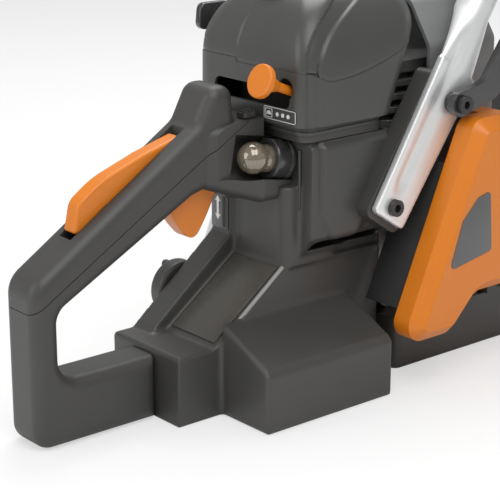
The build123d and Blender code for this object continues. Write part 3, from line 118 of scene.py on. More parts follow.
class Graph:
    """The node tree of one new material."""

    def __init__(self, name: str) -> None:
        """Makes an empty material of that name."""
        self.material = bpy.data.materials.new(name)
        self.material.use_nodes = True
        self.tree = self.material.node_tree
        self.tree.nodes.clear()

    def node(self, kind: str, settings: dict | None = None, inputs: dict | None = None,
             output: int | str = 0) -> Sock:
        """Adds one node.

        Args:
            kind: the node's type.
            settings: attributes set first.
            inputs: socket name or index to a value or a Sock.
            output: which output socket to return.

        Returns:
            The chosen output.
        """
        made = self.tree.nodes.new(kind)
        for name, value in (settings or {}).items():
            setattr(made, name, value)
        for name, value in (inputs or {}).items():
            if isinstance(value, Sock):
                self.tree.links.new(value.socket, made.inputs[name])
            else:
                made.inputs[name].default_value = value
        return Sock(self, made.outputs[output])

    def place(self) -> Sock:
        """The rest position of the surface point, in metres."""
        return self.node("ShaderNodeTexCoord", output="Object")

    def noise(self, scale: float, detail: float = 3.0, stretch: Point = (1, 1, 1)) -> Sock:
        """Grey noise with features of about one over scale metres.

        Args:
            scale: how fine the noise is.
            detail: how many finer layers it has.
            stretch: scale along each axis.

        Returns:
            The noise, 0 to 1.
        """
        moved = self.node("ShaderNodeMapping", inputs={"Vector": self.place(), "Scale": stretch})
        return self.node("ShaderNodeTexNoise", {"noise_dimensions": "3D"},
                         {"Vector": moved, "Scale": scale, "Detail": detail}, "Fac")

    def blend(self, amount: Sock | float, low: Colour | Sock, high: Colour | Sock) -> Sock:
        """Colour between two others.

        Args:
            amount: share of the second colour.
            low: the first colour.
            high: the second colour.

        Returns:
            The mixed colour.
        """
        paint = [c if isinstance(c, Sock) else (*c, 1.0) for c in (low, high)]
        return self.node("ShaderNodeMix", {"data_type": "RGBA"},
                         {"Factor": amount, 6: paint[0], 7: paint[1]}, 2)

    def relief(self, height: Sock, depth: float, edge: float) -> Sock:
        """Normal of a fine relief on softened edges.

        Args:
            height: relief, 0 to 1.
            depth: height of 1, in metres.
            edge: radius of the softened edges, in metres.

        Returns:
            The normal.
        """
        inputs = {"Height": height, "Strength": 1.0, "Distance": depth}
        if edge > 0:
            inputs["Normal"] = self.node("ShaderNodeBevel", {"samples": 6}, {"Radius": edge})
        return self.node("ShaderNodeBump", inputs=inputs)

    def finish(self, **inputs: object) -> bpy.types.Material:
        """Closes the graph with a Principled shader.

        Args:
            inputs: Principled sockets, with underscores for spaces.

        Returns:
            The material.
        """
        values = {name.replace("_", " "): value for name, value in inputs.items()}
        shader = self.node("ShaderNodeBsdfPrincipled", inputs=values)
        out = self.tree.nodes.new("ShaderNodeOutputMaterial")
        self.tree.links.new(shader.socket, out.inputs["Surface"])
        return self.material


# ---------------------------------------------------------------- finishes


@dataclass(frozen=True)
class MouldedPlastic:
    """Satin moulded plastic with a fine grain and faint cloudiness."""

    name: str
    colour: Colour
    roughness: float = 0.42
    grain: float = 2200.0
    depth: float = 0.00004
    edge: float = 0.0009
    coat: float = 0.0
    cloud: float = 0.12

    def make(self) -> bpy.types.Material:
        """The material."""
        graph = Graph(self.name)
        cloud = graph.noise(22.0, 4.0)
        fine = graph.noise(self.grain, 2.0)
        low = tuple(c * (1 - self.cloud) for c in self.colour)
        high = tuple(min(1.0, c * (1 + self.cloud)) for c in self.colour)
        paint = graph.blend(cloud, low, high)
        rough = self.roughness + 0.10 * (cloud - 0.5) + 0.08 * (fine - 0.5)
        return graph.finish(
            Base_Color=paint, Roughness=rough, Normal=graph.relief(fine, self.depth, self.edge),
            Coat_Weight=self.coat, Coat_Roughness=0.18)


@dataclass(frozen=True)
class BareMetal:
    """Metal with a fine directional or cast grain."""

    name: str
    colour: Colour
    roughness: float = 0.32
    grain: float = 900.0
    stretch: Point = (1, 1, 1)
    depth: float = 0.00003
    edge: float = 0.0006
    metallic: float = 1.0

    def make(self) -> bpy.types.Material:
        """The material."""
        graph = Graph(self.name)
        fine = graph.noise(self.grain, 3.0, self.stretch)
        cloud = graph.noise(35.0, 3.0)
        paint = graph.blend(cloud, tuple(c * 0.9 for c in self.colour), self.colour)
        rough = self.roughness + 0.16 * (fine - 0.5) + 0.08 * (cloud - 0.5)
        return graph.finish(
            Base_Color=paint, Roughness=rough, Metallic=self.metallic,
            Normal=graph.relief(fine, self.depth, self.edge))


@dataclass(frozen=True)
class SmokedBulb:
    """Clear smoked moulding of the primer bulb, wet inside."""

    name: str = "smoked_bulb"
    colour: Colour = (0.50, 0.42, 0.31)

    def make(self) -> bpy.types.Material:
        """The material."""
        graph = Graph(self.name)
        ripple = graph.noise(160.0, 2.0)
        paint = graph.blend(ripple, tuple(c * 0.5 for c in self.colour), self.colour)
        return graph.finish(
            Base_Color=paint, Roughness=0.08 + 0.08 * ripple, Transmission_Weight=0.55, IOR=1.45,
            Metallic=0.25, Coat_Weight=1.0, Coat_Roughness=0.03,
            Normal=graph.relief(ripple, 0.00012, 0.0))


@dataclass(frozen=True)
class Braid:
    """Twisted cord or felt with short fibres."""

    name: str
    colour: Colour
    scale: float = 1400.0

    def make(self) -> bpy.types.Material:
        """The material."""
        graph = Graph(self.name)
        fibre = graph.noise(self.scale, 3.0, (1, 1, 0.3))
        paint = graph.blend(fibre, tuple(c * 0.6 for c in self.colour), self.colour)
        return graph.finish(Base_Color=paint, Roughness=0.85 + 0.1 * (fibre - 0.5),
                            Normal=graph.relief(fibre, 0.0003, 0.0))


BLACK = MouldedPlastic("black_moulding", (0.050, 0.049, 0.046))
GRIP = MouldedPlastic("grip_moulding", (0.046, 0.045, 0.043), roughness=0.46, grain=1700.0)
COVER = MouldedPlastic("cover_moulding", (0.056, 0.057, 0.053), roughness=0.36)
GUARD = MouldedPlastic("guard_gloss", (0.030, 0.030, 0.030), roughness=0.16, coat=0.5,
                       depth=0.00001)
ORANGE = MouldedPlastic("orange_moulding", (0.66, 0.185, 0.008), roughness=0.36, grain=1500.0,
                        depth=0.000025, cloud=0.05)
GREY = MouldedPlastic("grey_moulding", (0.19, 0.195, 0.195), roughness=0.5)
RUBBER = MouldedPlastic("soft_rubber", (0.022, 0.022, 0.022), roughness=0.75, grain=900.0,
                        depth=0.0001)
SILVER = BareMetal("satin_aluminium", (0.86, 0.87, 0.87), roughness=0.42, depth=0.000012,
                   metallic=0.72)
CAST = BareMetal("cast_aluminium", (0.55, 0.55, 0.54), roughness=0.5, grain=1400.0,
                 depth=0.00015)
STEEL = BareMetal("ground_steel", (0.50, 0.50, 0.51), roughness=0.28, stretch=(0.05, 1, 1))
OXIDE = BareMetal("black_oxide", (0.055, 0.053, 0.052), roughness=0.36, metallic=0.6)
WHITE_PRINT = MouldedPlastic("white_print", (0.72, 0.73, 0.72), roughness=0.5, cloud=0.03)
PANEL_GREY = MouldedPlastic("panel_grey", (0.105, 0.107, 0.109), roughness=0.4, grain=3000.0,
                            depth=0.00001, cloud=0.04)
PAINTED_EDGE_HIGHLIGHT = MouldedPlastic("painted_edge_highlight", (0.30, 0.30, 0.29), roughness=0.3, cloud=0.03)
FLOOR_BROWN = MouldedPlastic("floor_moulding", (0.078, 0.073, 0.064), roughness=0.28)
FELT = Braid("filter_foam", (0.020, 0.020, 0.019))
ROPE = Braid("starter_braid", (0.78, 0.77, 0.73))

SLOT_FINISHES = {
    "black_plastic": BLACK, "guard_black": GUARD, "orange_plastic": ORANGE,
    "grey_plastic": GREY, "bulb_plastic": SmokedBulb(), "aluminium": CAST, "steel": STEEL,
    "dark_steel": OXIDE, "rubber": RUBBER, "filter_felt": FELT, "rope": ROPE,
}
NODE_FINISHES = {
    "front_handle": SILVER, "grip_cover": GRIP, "rear_handle": GRIP, "filter_cover": COVER,
    "primer_collar": GUARD,
}


class Paintshop:
    """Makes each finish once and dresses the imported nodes."""

    def __init__(self) -> None:
        """Starts with no material made."""
        self.made: dict[str, bpy.types.Material] = {}

    def material(self, finish: object) -> bpy.types.Material:
        """The finish's material, made at its first use.

        Args:
            finish: one of the finishes above.

        Returns:
            Its material.
        """
        if finish.name not in self.made:
            self.made[finish.name] = finish.make()
        return self.made[finish.name]

    def dress(self, thing: bpy.types.Object, finish: object) -> None:
        """Gives an object one material over all its faces.

        Args:
            thing: the object.
            finish: its finish.
        """
        thing.data.materials.clear()
        thing.data.materials.append(self.material(finish))

    def fit(self, thing: bpy.types.Object, finish: object, slot: str) -> bpy.types.Object:
        """Dresses a piece that rides on the saw's body.

        Args:
            thing: the piece.
            finish: its finish.
            slot: its material slot; not used.

        Returns:
            The same piece.
        """
        self.dress(thing, finish)
        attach(thing, "saw_body")
        return thing

    def dress_nodes(self, frame: dict) -> None:
        """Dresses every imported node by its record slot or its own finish.

        Args:
            frame: the loaded frame.
        """
        slots = {s["node"]: s["material_slot"] for s in frame["record"]["subparts"]}
        for name, node in frame["nodes"].items():
            self.dress(node, NODE_FINISHES.get(name, SLOT_FINISHES[slots[name]]))


# ---------------------------------------------------------------- studio


@dataclass
class Studio:
    """Camera, floor, world and lamps."""

    eye: Point = (-0.81816, -0.82473, 0.41640)
    view: Point = (0.61472, 0.73259, -0.29237)
    lens: float = 120.0
    floor_half: float = 6.0
    floor_z: float = -0.0004
    floor_glow: float = 0.55
    world_light: float = 0.55

    def build(self) -> None:
        """Sets the whole studio up."""
        self.camera()
        self.floor()
        self.world()
        self.lamps()
        bpy.context.scene.view_settings.view_transform = "Standard"

    def camera(self) -> None:
        """A long lens from behind and above the saw's right side."""
        data = bpy.data.cameras.new("camera")
        data.lens = self.lens
        data.sensor_width = 36.0
        data.clip_end = 50.0
        eye = bpy.data.objects.new("camera", data)
        eye.location = self.eye
        eye.rotation_euler = Vector(self.view).to_track_quat("-Z", "Y").to_euler()
        bpy.context.scene.collection.objects.link(eye)
        bpy.context.scene.camera = eye

    def floor(self) -> None:
        """A plain pale floor, white to the camera but for the saw's shadow."""
        half = self.floor_half
        outline = [(x, y, self.floor_z) for x, y in corners((-half, -half), (half, half))]
        plate = mesh_object("studio_floor", outline, [(0, 1, 2, 3)])
        graph = Graph("studio_floor")
        speckle = graph.noise(9.0, 2.0)
        shade = graph.node("ShaderNodeBsdfDiffuse",
                           inputs={"Color": graph.blend(speckle, (0.86,) * 3, (0.9,) * 3)})
        glow = graph.node("ShaderNodeEmission", inputs={"Color": (1, 1, 1, 1), "Strength": 1.0})
        rays = graph.node("ShaderNodeLightPath", output="Is Camera Ray")
        mixed = graph.node("ShaderNodeMixShader", inputs={0: rays * self.floor_glow, 1: shade, 2: glow})
        out = graph.tree.nodes.new("ShaderNodeOutputMaterial")
        graph.tree.links.new(mixed.socket, out.inputs["Surface"])
        plate.data.materials.append(graph.material)

    def world(self) -> None:
        """White surroundings for the eye and for reflections, dimmer as a light."""
        world = bpy.data.worlds.new("studio")
        bpy.context.scene.world = world
        world.use_nodes = True
        tree = world.node_tree
        tree.nodes.clear()
        path = tree.nodes.new("ShaderNodeLightPath")
        level = tree.nodes.new("ShaderNodeMapRange")
        level.inputs[3].default_value = self.world_light
        level.inputs[4].default_value = 1.0
        tree.links.new(path.outputs["Is Camera Ray"], level.inputs[0])
        back = tree.nodes.new("ShaderNodeBackground")
        tree.links.new(level.outputs[0], back.inputs["Strength"])
        out = tree.nodes.new("ShaderNodeOutputWorld")
        tree.links.new(back.outputs[0], out.inputs["Surface"])

    def lamps(self) -> None:
        """Broad soft lamps: overhead key, right-hand fill and a low rear fill."""
        for name, place, aim, size, power in (
            ("key", (-0.5, -0.9, 1.5), (-0.05, 0, 0.15), 1.2, 16.0),
            ("top", (0.4, 0.5, 1.5), (-0.05, 0, 0.15), 1.0, 14.0),
            ("fill", (-1.5, 0.3, 0.7), (-0.1, 0, 0.15), 1.0, 7.0),
        ):
            data = bpy.data.lights.new(name, "AREA")
            data.size = size
            data.energy = power
            lamp = bpy.data.objects.new(name, data)
            lamp.location = place
            way = Vector(aim) - Vector(place)
            lamp.rotation_euler = way.to_track_quat("-Z", "Y").to_euler()
            bpy.context.scene.collection.objects.link(lamp)


# ---------------------------------------------------------------- mesh helpers


def mesh_object(name: str, points: Sequence[Point], faces: Sequence[Sequence[int]],
                smooth: bool = False) -> bpy.types.Object:
    """Makes a mesh object from points and faces.

    Args:
        name: the object's name.
        points: vertex positions.
        faces: vertex indices of each face.
        smooth: whether its faces are shaded smooth.

    Returns:
        The linked object, with its normals facing out.
    """
    data = bpy.data.meshes.new(name)
    data.from_pydata(list(points), [], list(faces))
    work = bmesh.new()
    work.from_mesh(data)
    bmesh.ops.recalc_face_normals(work, faces=work.faces)
    work.to_mesh(data)
    work.free()
    data.polygons.foreach_set("use_smooth", [smooth] * len(data.polygons))
    thing = bpy.data.objects.new(name, data)
    bpy.context.scene.collection.objects.link(thing)
    return thing


def closed_by(work: bpy.types.Object, cutters: Sequence[bpy.types.Object]) -> None:
    """Cuts the cutters out of an object and removes them.

    Args:
        work: the object that keeps its name.
        cutters: closed objects to take away.
    """
    for cutter in cutters:
        cut = work.modifiers.new("cut", "BOOLEAN")
        cut.operation = "DIFFERENCE"
        cut.solver = "EXACT"
        cut.object = cutter
    settle(work)
    for cutter in cutters:
        bpy.data.objects.remove(cutter)


def settle(thing: bpy.types.Object) -> None:
    """Turns an object's modifiers into its own mesh.

    Args:
        thing: the object.
    """
    bpy.context.view_layer.update()
    graph = bpy.context.evaluated_depsgraph_get()
    mesh = bpy.data.meshes.new_from_object(thing.evaluated_get(graph))
    thing.modifiers.clear()
    thing.data = mesh


def smooth_by_angle(thing: bpy.types.Object, degrees: float = 35.0) -> None:
    """Smooth shading with sharp edges above an angle.

    Args:
        thing: the object.
        degrees: least angle of an edge that stays sharp.
    """
    thing.data.polygons.foreach_set("use_smooth", [True] * len(thing.data.polygons))
    thing.data.set_sharp_from_angle(angle=math.radians(degrees))


def grid_faces(rows: int, columns: int, closed: bool) -> list[tuple[int, ...]]:
    """Quads of a grid of points stored row by row.

    Args:
        rows: number of rows.
        columns: points in each row.
        closed: whether a row's last point joins its first.

    Returns:
        Vertex indices of each face.
    """
    last = columns if closed else columns - 1
    return [
        (r * columns + c, r * columns + (c + 1) % columns,
         (r + 1) * columns + (c + 1) % columns, (r + 1) * columns + c)
        for r in range(rows - 1) for c in range(last)
    ]


def step(value: float, low: float, high: float) -> float:
    """Smooth ramp of a value.

    Args:
        value: where on the ramp.
        low: where it leaves 0.
        high: where it reaches 1.

    Returns:
        The ramp's height, 0 to 1.
    """
    t = min(1.0, max(0.0, (value - low) / (high - low)))
    return t * t * (3 - 2 * t)


def prism(name: str, outline: Sequence[Point], sweep: Point, bevel: float = 0.0,
          segments: int = 2) -> bpy.types.Object:
    """A flat outline swept along a vector.

    Args:
        name: the object's name.
        outline: corner points of a flat polygon, in order.
        sweep: how far it is swept.
        bevel: width of the softened edges, or 0.
        segments: steps across a softened edge.

    Returns:
        The closed object.
    """
    count = len(outline)
    points = [Vector(q) for q in outline] + [Vector(q) + Vector(sweep) for q in outline]
    faces = [tuple(range(count)), tuple(range(count, 2 * count))]
    faces += [(k, (k + 1) % count, count + (k + 1) % count, count + k) for k in range(count)]
    thing = mesh_object(name, points, faces)
    if bevel > 0:
        soft = thing.modifiers.new("soft", "BEVEL")
        soft.width = bevel
        soft.segments = segments
        soft.limit_method = "ANGLE"
        soft.angle_limit = math.radians(30)
        settle(thing)
        smooth_by_angle(thing)
    return thing


def circle(centre: Pair, radius: float, count: int, sweep: float = math.tau) -> list[Pair]:
    """Points round a circle, anticlockwise from its first axis.

    Args:
        centre: its centre.
        radius: its radius.
        count: how many steps the sweep has.
        sweep: how far round the points go.

    Returns:
        One point at the start of each step, and one at the end of an open sweep.
    """
    last = count if sweep == math.tau else count + 1
    return [(centre[0] + radius * math.cos(sweep * k / count),
             centre[1] + radius * math.sin(sweep * k / count)) for k in range(last)]


def corners(low: Pair, high: Pair) -> list[Pair]:
    """Corners of an upright rectangle, anticlockwise from its lowest.

    Args:
        low: its least coordinates.
        high: its greatest coordinates.

    Returns:
        The four corners.
    """
    return [low, (high[0], low[1]), high, (low[0], high[1])]


def at_x(x: float, outline: Sequence[Pair]) -> list[Point]:
    """A flat outline of (y, z) points put at one x.

    Args:
        x: where it is put.
        outline: its points.

    Returns:
        The points in space.
    """
    return [(x, y, z) for y, z in outline]


def at_y(y: float, outline: Sequence[Pair]) -> list[Point]:
    """A flat outline of (x, z) points put at one y.

    Args:
        y: where it is put.
        outline: its points.

    Returns:
        The points in space.
    """
    return [(x, y, z) for x, z in outline]


def rounded(points: Sequence[Pair], radius: float | Sequence[float],
            steps: int = 6) -> list[Pair]:
    """A flat polygon with round corners.

    Args:
        points: corners, in order.
        radius: one radius, or one for each corner.
        steps: segments in each corner.

    Returns:
        The corners replaced by arcs.
    """
    radii = [radius] * len(points) if isinstance(radius, (int, float)) else list(radius)
    out: list[Pair] = []
    for k, (corner, r) in enumerate(zip(points, radii)):
        here = Vector((*corner, 0))
        back = (Vector((*points[k - 1], 0)) - here).normalized()
        ahead = (Vector((*points[(k + 1) % len(points)], 0)) - here).normalized()
        half = back.angle(ahead) / 2
        if r <= 0 or half > math.radians(89.5):
            out.append((here.x, here.y))
            continue
        centre = here + (back + ahead).normalized() * (r / math.sin(half))
        start = here + back * (r / math.tan(half)) - centre
        end = here + ahead * (r / math.tan(half)) - centre
        first = math.atan2(start.y, start.x)
        turn = math.remainder(math.atan2(end.y, end.x) - first, math.tau)
        for n in range(steps + 1):
            way = first + turn * n / steps
            out.append((centre.x + r * math.cos(way), centre.y + r * math.sin(way)))
    return out


# ---------------------------------------------------------------- filter cover


@dataclass
class FilterCover:
    """Domed cover over the air filter: lower wall, seam, corner channel, choke slot."""

    shop: Paintshop
    rear: float = -0.138
    right: float = -0.067
    left: float = 0.055
    bottom: float = 0.183
    skirt: float = 0.177
    skirt_inset: float = 0.0060
    top: float = 0.263
    front_low: float = -0.0565
    front_lean: float = 0.40
    wall: float = 0.0026
    corner_radii: tuple[float, float, float, float] = (0.011, 0.014, 0.014, 0.028)
    crown: tuple[float, float, float, float] = (-0.104, -0.050, -0.041, 0.014)
    seam_depth: float = 0.0007
    seam_low: float = 0.2112
    seam_behind: float = 0.2175
    seam_left_rise: float = 0.0026
    seam_low_at: float = -0.117
    seam_level_at: float = -0.134
    seam_rise: float = 5.5
    seam_below_top: float = 0.006
    channel_depth: float = 0.0019
    channel_foot: float = 0.216
    channel_rise: float = 0.043
    channel_free: float = 0.028
    middle_x: float = -0.085
    middle_y: float = -0.006
    middle_z: float = 0.20
    dome_from: float = 0.225
    wall_rows: int = 36
    dome_rows: int = 44
    counts: tuple[int, int, int, int, int] = (22, 70, 100, 62, 92)
    cut_start: float = 0.005
    cut_depth: float = 0.016
    slot_middle: Pair = (-0.0155, 0.1995)
    slot_half: float = 0.0375
    slot_radius: float = 0.006
    hole_middle: Pair = (-0.049, 0.2066)
    hole_radius: float = 0.007
    label_plate: tuple[Pair, Pair] = ((-0.0590, 0.1853), (-0.0285, 0.1935))
    label_sign: tuple[Pair, Pair] = ((-0.0366, 0.1864), (-0.0300, 0.1924))
    bulb_middle: Pair = (-0.0333, 0.1882)
    bulb_half: Pair = (0.0021, 0.0026)
    dot_first: Pair = (-0.0415, 0.1894)
    dot_pitch: float = 0.0052
    line_sweep: Point = (-0.00035, 0, 0)
    print_sweep: Point = (-0.0004, 0, 0)
    latch_outline: tuple[Pair, ...] = (
        (-0.126, 0.229), (-0.097, 0.231), (-0.099, 0.2475), (-0.124, 0.2475))
    latch_y: float = 0.0535
    latch_depth: float = 0.0055
    stud_middle: Pair = (-0.1115, 0.2385)

    def perimeter(self, low: Point, high: Point, radii: Sequence[float],
                  counts: Sequence[int]) -> list[Vector]:
        """Points round a rounded rectangle, from its rear right corner and anticlockwise.

        Args:
            low: least x and y.
            high: greatest x and y.
            radii: corner radii, rear right first.
            counts: points on corners and sides, corner first.

        Returns:
            Points at height 0.
        """
        corners = [(low[0], low[1], 180.0), (high[0], low[1], 270.0), (high[0], high[1], 0.0),
                   (low[0], high[1], 90.0)]
        points: list[Vector] = []
        for k, (x, y, turn) in enumerate(corners):
            r = radii[k]
            cx = x + r if k in (0, 3) else x - r
            cy = y + r if k in (0, 1) else y - r
            arc = [Vector((cx + r * math.cos(math.radians(turn + 90 * n / counts[0])),
                           cy + r * math.sin(math.radians(turn + 90 * n / counts[0])), 0))
                   for n in range(counts[0] + 1)]
            if points:
                start, count = points[-1], counts[k]
                points += [start.lerp(arc[0], n / count) for n in range(1, count)]
            points += arc
        count = counts[4]
        points += [points[-1].lerp(points[0], n / count) for n in range(1, count)]
        return points

    def seam_height(self, x: float, y: float) -> float:
        """Height of the seam: level behind, lowest at the corners, rising forward.

        Args:
            x: plan position forward.
            y: plan position to the left.

        Returns:
            The height.
        """
        behind = self.seam_behind + (self.seam_left_rise if y > 0 else 0.0)
        rise = max(0.0, x - self.seam_low_at)
        share = step(-x, -self.seam_low_at, -self.seam_level_at)
        height = self.seam_low + share * (behind - self.seam_low)
        return min(self.top - self.seam_below_top, height + self.seam_rise * rise * rise)

    def channel(self, point: Vector) -> float:
        """How deep the corner channel is at a point.

        Args:
            point: a point of the surface.

        Returns:
            The share of the full depth.
        """
        t = max(0.0, (point.z - self.channel_foot) / self.channel_rise)
        inner = -0.1342 + 0.034 * t ** 2.5
        outer = -0.1235 + 0.045 * t ** 2.2
        if abs(point.y - self.middle_y) < self.channel_free:
            return 0.0
        return step(point.x, inner - 0.0006, inner + 0.0006) * (
            1 - step(point.x, outer - 0.0018, outer + 0.0014))

    def surface(self) -> tuple[list[list[Vector]], int]:
        """Rows of points from the bottom edge to the crown, and the seam's row."""
        base = self.perimeter((self.rear, self.right), (self.front_low, self.left),
                              self.corner_radii, self.counts)
        crown = self.perimeter((self.crown[0], self.crown[2]), (self.crown[1], self.crown[3]),
                               (0.012,) * 4, self.counts)
        rows: list[list[Vector]] = []
        for r in range(self.wall_rows + self.dome_rows + 1):
            row = []
            for low, high in zip(base, crown):
                seam = self.seam_height(low.x, low.y)
                if r <= self.wall_rows:
                    share = 0.0
                    part = r / self.wall_rows
                    z = self.bottom + (seam - self.bottom) * (1 - (1 - part) ** 1.6)
                else:
                    turn = math.pi / 2 * (r - self.wall_rows) / self.dome_rows
                    share = (1 - math.cos(turn)) ** 0.92
                    z = seam + (self.top - seam) * math.sin(turn)
                x1 = self.front_low + self.front_lean * (z - self.bottom)
                stretch = (x1 - self.rear) / (self.front_low - self.rear)
                x = self.rear + (low.x - self.rear) * stretch
                row.append(Vector((x + (high.x - x) * share, low.y + (high.y - low.y) * share, z)))
            rows.append(row)
        return rows, self.wall_rows

    def relieved(self, rows: list[list[Vector]], seam_row: int) -> list[list[Vector]]:
        """Adds the seam step and the corner channel along the surface normal.

        Args:
            rows: points of the plain surface.
            seam_row: the row that lies on the seam.

        Returns:
            The moved points.
        """
        count = len(rows[0])
        out: list[list[Vector]] = []
        for r, row in enumerate(rows):
            above = rows[min(r + 1, len(rows) - 1)]
            below = rows[max(r - 1, 0)]
            line = []
            for c, point in enumerate(row):
                along = row[(c + 1) % count] - row[c - 1]
                normal = along.cross(above[c] - below[c])
                normal = normal.normalized() if normal.length > 0 else Vector((0, 0, 1))
                sink = self.channel_depth * self.channel(point)
                if r == seam_row:
                    sink += self.seam_depth
                elif r > seam_row:
                    sink += 0.5 * self.seam_depth * (1 - step(r - seam_row, 2, 9))
                line.append(point - normal * sink)
            out.append(line)
        return out

    def inward(self, point: Vector, distance: float) -> Vector:
        """The point moved towards the cover's middle, level on the walls.

        Args:
            point: a point of the outer surface.
            distance: how far it is moved.

        Returns:
            The moved point.
        """
        level = point.z <= self.dome_from
        aim = Vector((self.middle_x, self.middle_y, point.z if level else self.middle_z))
        return point + (aim - point).normalized() * distance

    def build(self) -> None:
        """Makes the shell with its slot, the label frame and the latch tab."""
        rows, seam_row = self.surface()
        outer = self.relieved(rows, seam_row)
        count = len(outer[0])
        inner = [[self.inward(q, self.wall) for q in row] for row in reversed(rows[::4])]
        step_in = [self.inward(q, self.skirt_inset) for q in rows[0]]
        foot = [Vector((q.x, q.y, self.skirt)) for q in step_in]
        inner.append([self.inward(q, self.wall) for q in foot])
        inner += [foot, step_in]
        flat = [q for row in inner + outer for q in row]
        faces = grid_faces(len(inner) + len(outer), count, True)
        faces.append(tuple(range(count)))
        faces.append(tuple(range(len(flat) - count, len(flat))))
        shell = mesh_object("filter_cover_shell", flat, faces)
        closed_by(shell, [self.slot_cutter(), self.hole_cutter()])
        smooth_by_angle(shell, 38)
        self.shop.dress(shell, COVER)
        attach(shell, "saw_body")
        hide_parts("filter_cover")
        self.label()
        self.latch()

    def slot_cutter(self) -> bpy.types.Object:
        """Round-ended slot across the rear wall."""
        (y, z), half, r = self.slot_middle, self.slot_half, self.slot_radius
        outline = rounded(corners((y - half, z - r), (y + half, z + r)), r - 0.0001, 8)
        return prism("slot", at_x(self.rear - self.cut_start, outline), (self.cut_depth, 0, 0))

    def hole_cutter(self) -> bpy.types.Object:
        """Round hole for the choke rod."""
        outline = circle(self.hole_middle, self.hole_radius, 28)
        return prism("hole", at_x(self.rear - self.cut_start, outline), (self.cut_depth, 0, 0))

    def label(self) -> None:
        """Plain outlined plate with a thumb-press sign, beside the primer."""
        face = self.rear - 0.0002
        frame = rounded(corners(*self.label_plate), 0.0012, 4)
        ring_of(self.shop, "pump_plate_line", at_x(face, frame), self.line_sweep, 0.00045,
                WHITE_PRINT)
        square = rounded(corners(*self.label_sign), 0.0007, 3)
        ring_of(self.shop, "pump_sign_line", at_x(face, square), self.line_sweep, 0.0005,
                WHITE_PRINT)
        dome = [(face, self.bulb_middle[0] + self.bulb_half[0] * math.cos(math.pi * k / 12),
                 self.bulb_middle[1] + self.bulb_half[1] * math.sin(math.pi * k / 12))
                for k in range(13)]
        add_print(self.shop, "pump_sign_bulb", dome, self.print_sweep, WHITE_PRINT)
        for k in range(3):
            middle = (self.dot_first[0] - self.dot_pitch * k, self.dot_first[1])
            add_print(self.shop, f"pump_dot_{k + 1}", at_x(face, circle(middle, 0.0014, 16)),
                      self.print_sweep, WHITE_PRINT)

    def latch(self) -> None:
        """Flat clip tab over the cover's left shoulder, with its stud."""
        tab = prism("cover_latch", at_y(self.latch_y, rounded(self.latch_outline, 0.005, 6)),
                    (0, self.latch_depth, 0), 0.0012, 3)
        self.shop.fit(tab, GUARD, "black_plastic")
        pin = circle(self.stud_middle, 0.003, 18)
        stud = prism("cover_latch_stud", at_y(self.latch_y + 0.005, pin), (0, 0.0015, 0),
                     0.0004, 2)
        self.shop.fit(stud, OXIDE, "dark_steel")


def ring_of(shop: Paintshop, name: str, outline: Sequence[Point], sweep: Point, width: float,
            finish: object) -> bpy.types.Object:
    """A thin raised line along a closed flat outline in a plane of constant x.

    Args:
        shop: maker of finishes.
        name: the object's name.
        outline: points of the outline.
        sweep: direction and height of the relief.
        width: width of the line.
        finish: its finish.

    Returns:
        The line, riding on the saw's body.
    """
    middle = sum((Vector(q) for q in outline), Vector()) / len(outline)
    rings: list[Vector] = []
    for push, lift in ((0, 0), (0, 1), (1, 1), (1, 0)):
        for k, point in enumerate(outline):
            here = Vector(point)
            ahead = Vector(outline[(k + 1) % len(outline)]) - Vector(outline[k - 1])
            side = ahead.cross(Vector(sweep)).normalized()
            if side.dot(middle - here) < 0:
                side = -side
            rings.append(here + side * (width * push) + Vector(sweep) * lift)
    count = len(outline)
    faces = [(r * count + c, r * count + (c + 1) % count,
              (r + 1) % 4 * count + (c + 1) % count, (r + 1) % 4 * count + c)
             for r in range(4) for c in range(count)]
    return shop.fit(mesh_object(name, rings, faces), finish, "black_plastic")


def add_print(shop: Paintshop, name: str, outline: Sequence[Point], sweep: Point,
              finish: object) -> bpy.types.Object:
    """A small flat raised mark on the saw's body.

    Args:
        shop: maker of finishes.
        name: the object's name.
        outline: points of its outline.
        sweep: direction and height of the relief.
        finish: its finish.

    Returns:
        The mark.
    """
    return shop.fit(prism(name, outline, sweep), finish, "black_plastic")


# ---------------------------------------------------------------- softened copies


def soft_copy(frame: dict, node: str, voxel: float, rounds: int,
              relief: Callable[[Vector, Vector], Vector]) -> bpy.types.Object:
    """A soft-edged stand-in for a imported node, with its own relief.

    Args:
        frame: the loaded frame.
        node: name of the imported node.
        voxel: mesh size of the copy, in metres.
        rounds: smoothing rounds, which set how soft its edges are.
        relief: gives each point's shift from its place and its normal.

    Returns:
        The copy, which replaces the node.
    """
    source = frame["nodes"][node]
    thing = bpy.data.objects.new(f"{node}_skin", source.data.copy())
    bpy.context.scene.collection.objects.link(thing)
    grid = thing.modifiers.new("grid", "REMESH")
    grid.mode = "VOXEL"
    grid.voxel_size = voxel
    soft = thing.modifiers.new("soft", "SMOOTH")
    soft.factor = 0.5
    soft.iterations = rounds
    settle(thing)
    places = [vertex.co.copy() for vertex in thing.data.vertices]
    normals = [vertex.normal.copy() for vertex in thing.data.vertices]
    moved = [place + relief(place, normal) for place, normal in zip(places, normals)]
    thing.data.vertices.foreach_set("co", [c for place in moved for c in place])
    thing.data.update()
    smooth_by_angle(thing, 50)
    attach(thing, "saw_body")
    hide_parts(node)
    return thing


